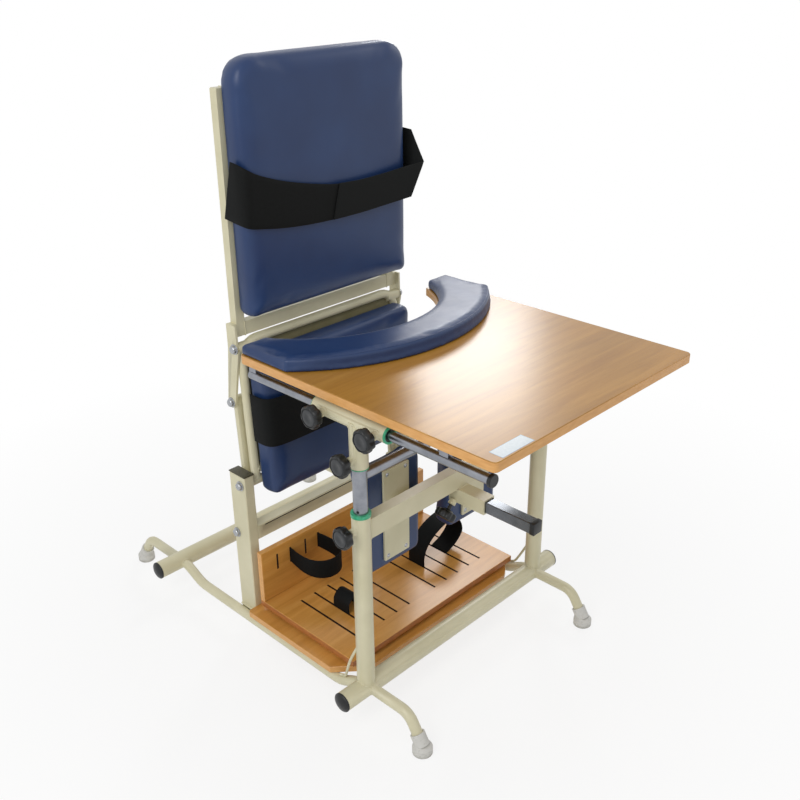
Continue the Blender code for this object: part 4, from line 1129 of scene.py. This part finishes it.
def studio():
    """Pale floor that fades to white, white surroundings, and four soft lights."""
    bm = bmesh.new()
    bmesh.ops.create_circle(bm, cap_ends=True, segments=96, radius=FLOOR_R)
    mesh = bpy.data.meshes.new("floor")
    bm.to_mesh(mesh)
    bm.free()
    floor = linked("floor", mesh)
    skin, tree, shader, place = finish_named("pale_floor", Roughness=0.9, Specular_IOR_Level=0.1)
    tint = colours_between(tree, noise(tree, place, 0.8, 2.0), (0.3, "#F3F3F2"), (0.7, "#F7F7F6"))
    tree.links.new(tint, shader.inputs["Base Color"])
    away = add(tree, "VectorMath", {0: place}, operation="LENGTH").outputs["Value"]
    white = levels_between(tree, away, 0.80, 1.0, *FLOOR_FADE)
    share = combined(tree, seen_directly(tree), white)
    glow = add(tree, "Emission", {"Color": linear("#FFFFFF"), "Strength": 1.0}).outputs["Emission"]
    mixed = add(tree, "MixShader", {0: share, 1: shader.outputs["BSDF"], 2: glow}).outputs["Shader"]
    tree.links.new(mixed, tree.nodes["Material Output"].inputs["Surface"])
    mesh.materials.append(skin)

    world = bpy.data.worlds.new("studio")
    world.use_nodes = True
    bpy.context.scene.world = world
    tree = world.node_tree
    tree.nodes.clear()
    level = levels_between(tree, seen_directly(tree), 0.50, 1.0)
    sky = add(tree, "Background", {"Color": linear("#FFFFFF"), "Strength": level})
    add(tree, "OutputWorld", {"Surface": sky.outputs["Background"]})

    for name, place, aim, size, power in (("key", (-3.2, -0.9, 2.9), OBJECT_MIDDLE, 2.2, 58.0),
                                          ("fill", (-0.6, -3.6, 2.2), OBJECT_MIDDLE, 2.6, 6.0),
                                          ("side", (2.8, -0.8, 2.6), OBJECT_MIDDLE, 1.5, 12.0),
                                          ("window", (2.12, 1.46, 2.11), TABLE_MIDDLE, 0.7, 15.0)):
        lamp = bpy.data.lights.new(name, "AREA")
        lamp.size = size
        lamp.energy = power
        holder = linked(name, lamp)
        holder.location = place
        holder.rotation_euler = (Vector(aim) - Vector(place)).to_track_quat("-Z", "Y").to_euler()


def camera():
    """The photograph's camera, and plain colours."""
    azimuth, elevation, roll = map(math.radians, (CAMERA_AZIMUTH, CAMERA_ELEVATION, CAMERA_ROLL))
    lens = bpy.data.cameras.new("view")
    lens.lens = CAMERA_LENS
    lens.sensor_width = SENSOR
    holder = linked("view", lens)
    tilt = Matrix.Rotation(math.pi / 2 - elevation, 4, "X") @ Matrix.Rotation(roll, 4, "Z")
    holder.matrix_world = Matrix.Translation(CAMERA_PLACE) @ Matrix.Rotation(azimuth, 4, "Z") @ tilt
    bpy.context.scene.camera = holder
    bpy.context.scene.view_settings.view_transform = "Standard"


camera()
studio()
steelwork()
sliding_tubes()
welds()
fittings()
knobs()
boards()
pads()
elbow_seam()
chest_strap()
hip_strap()
foot_straps()
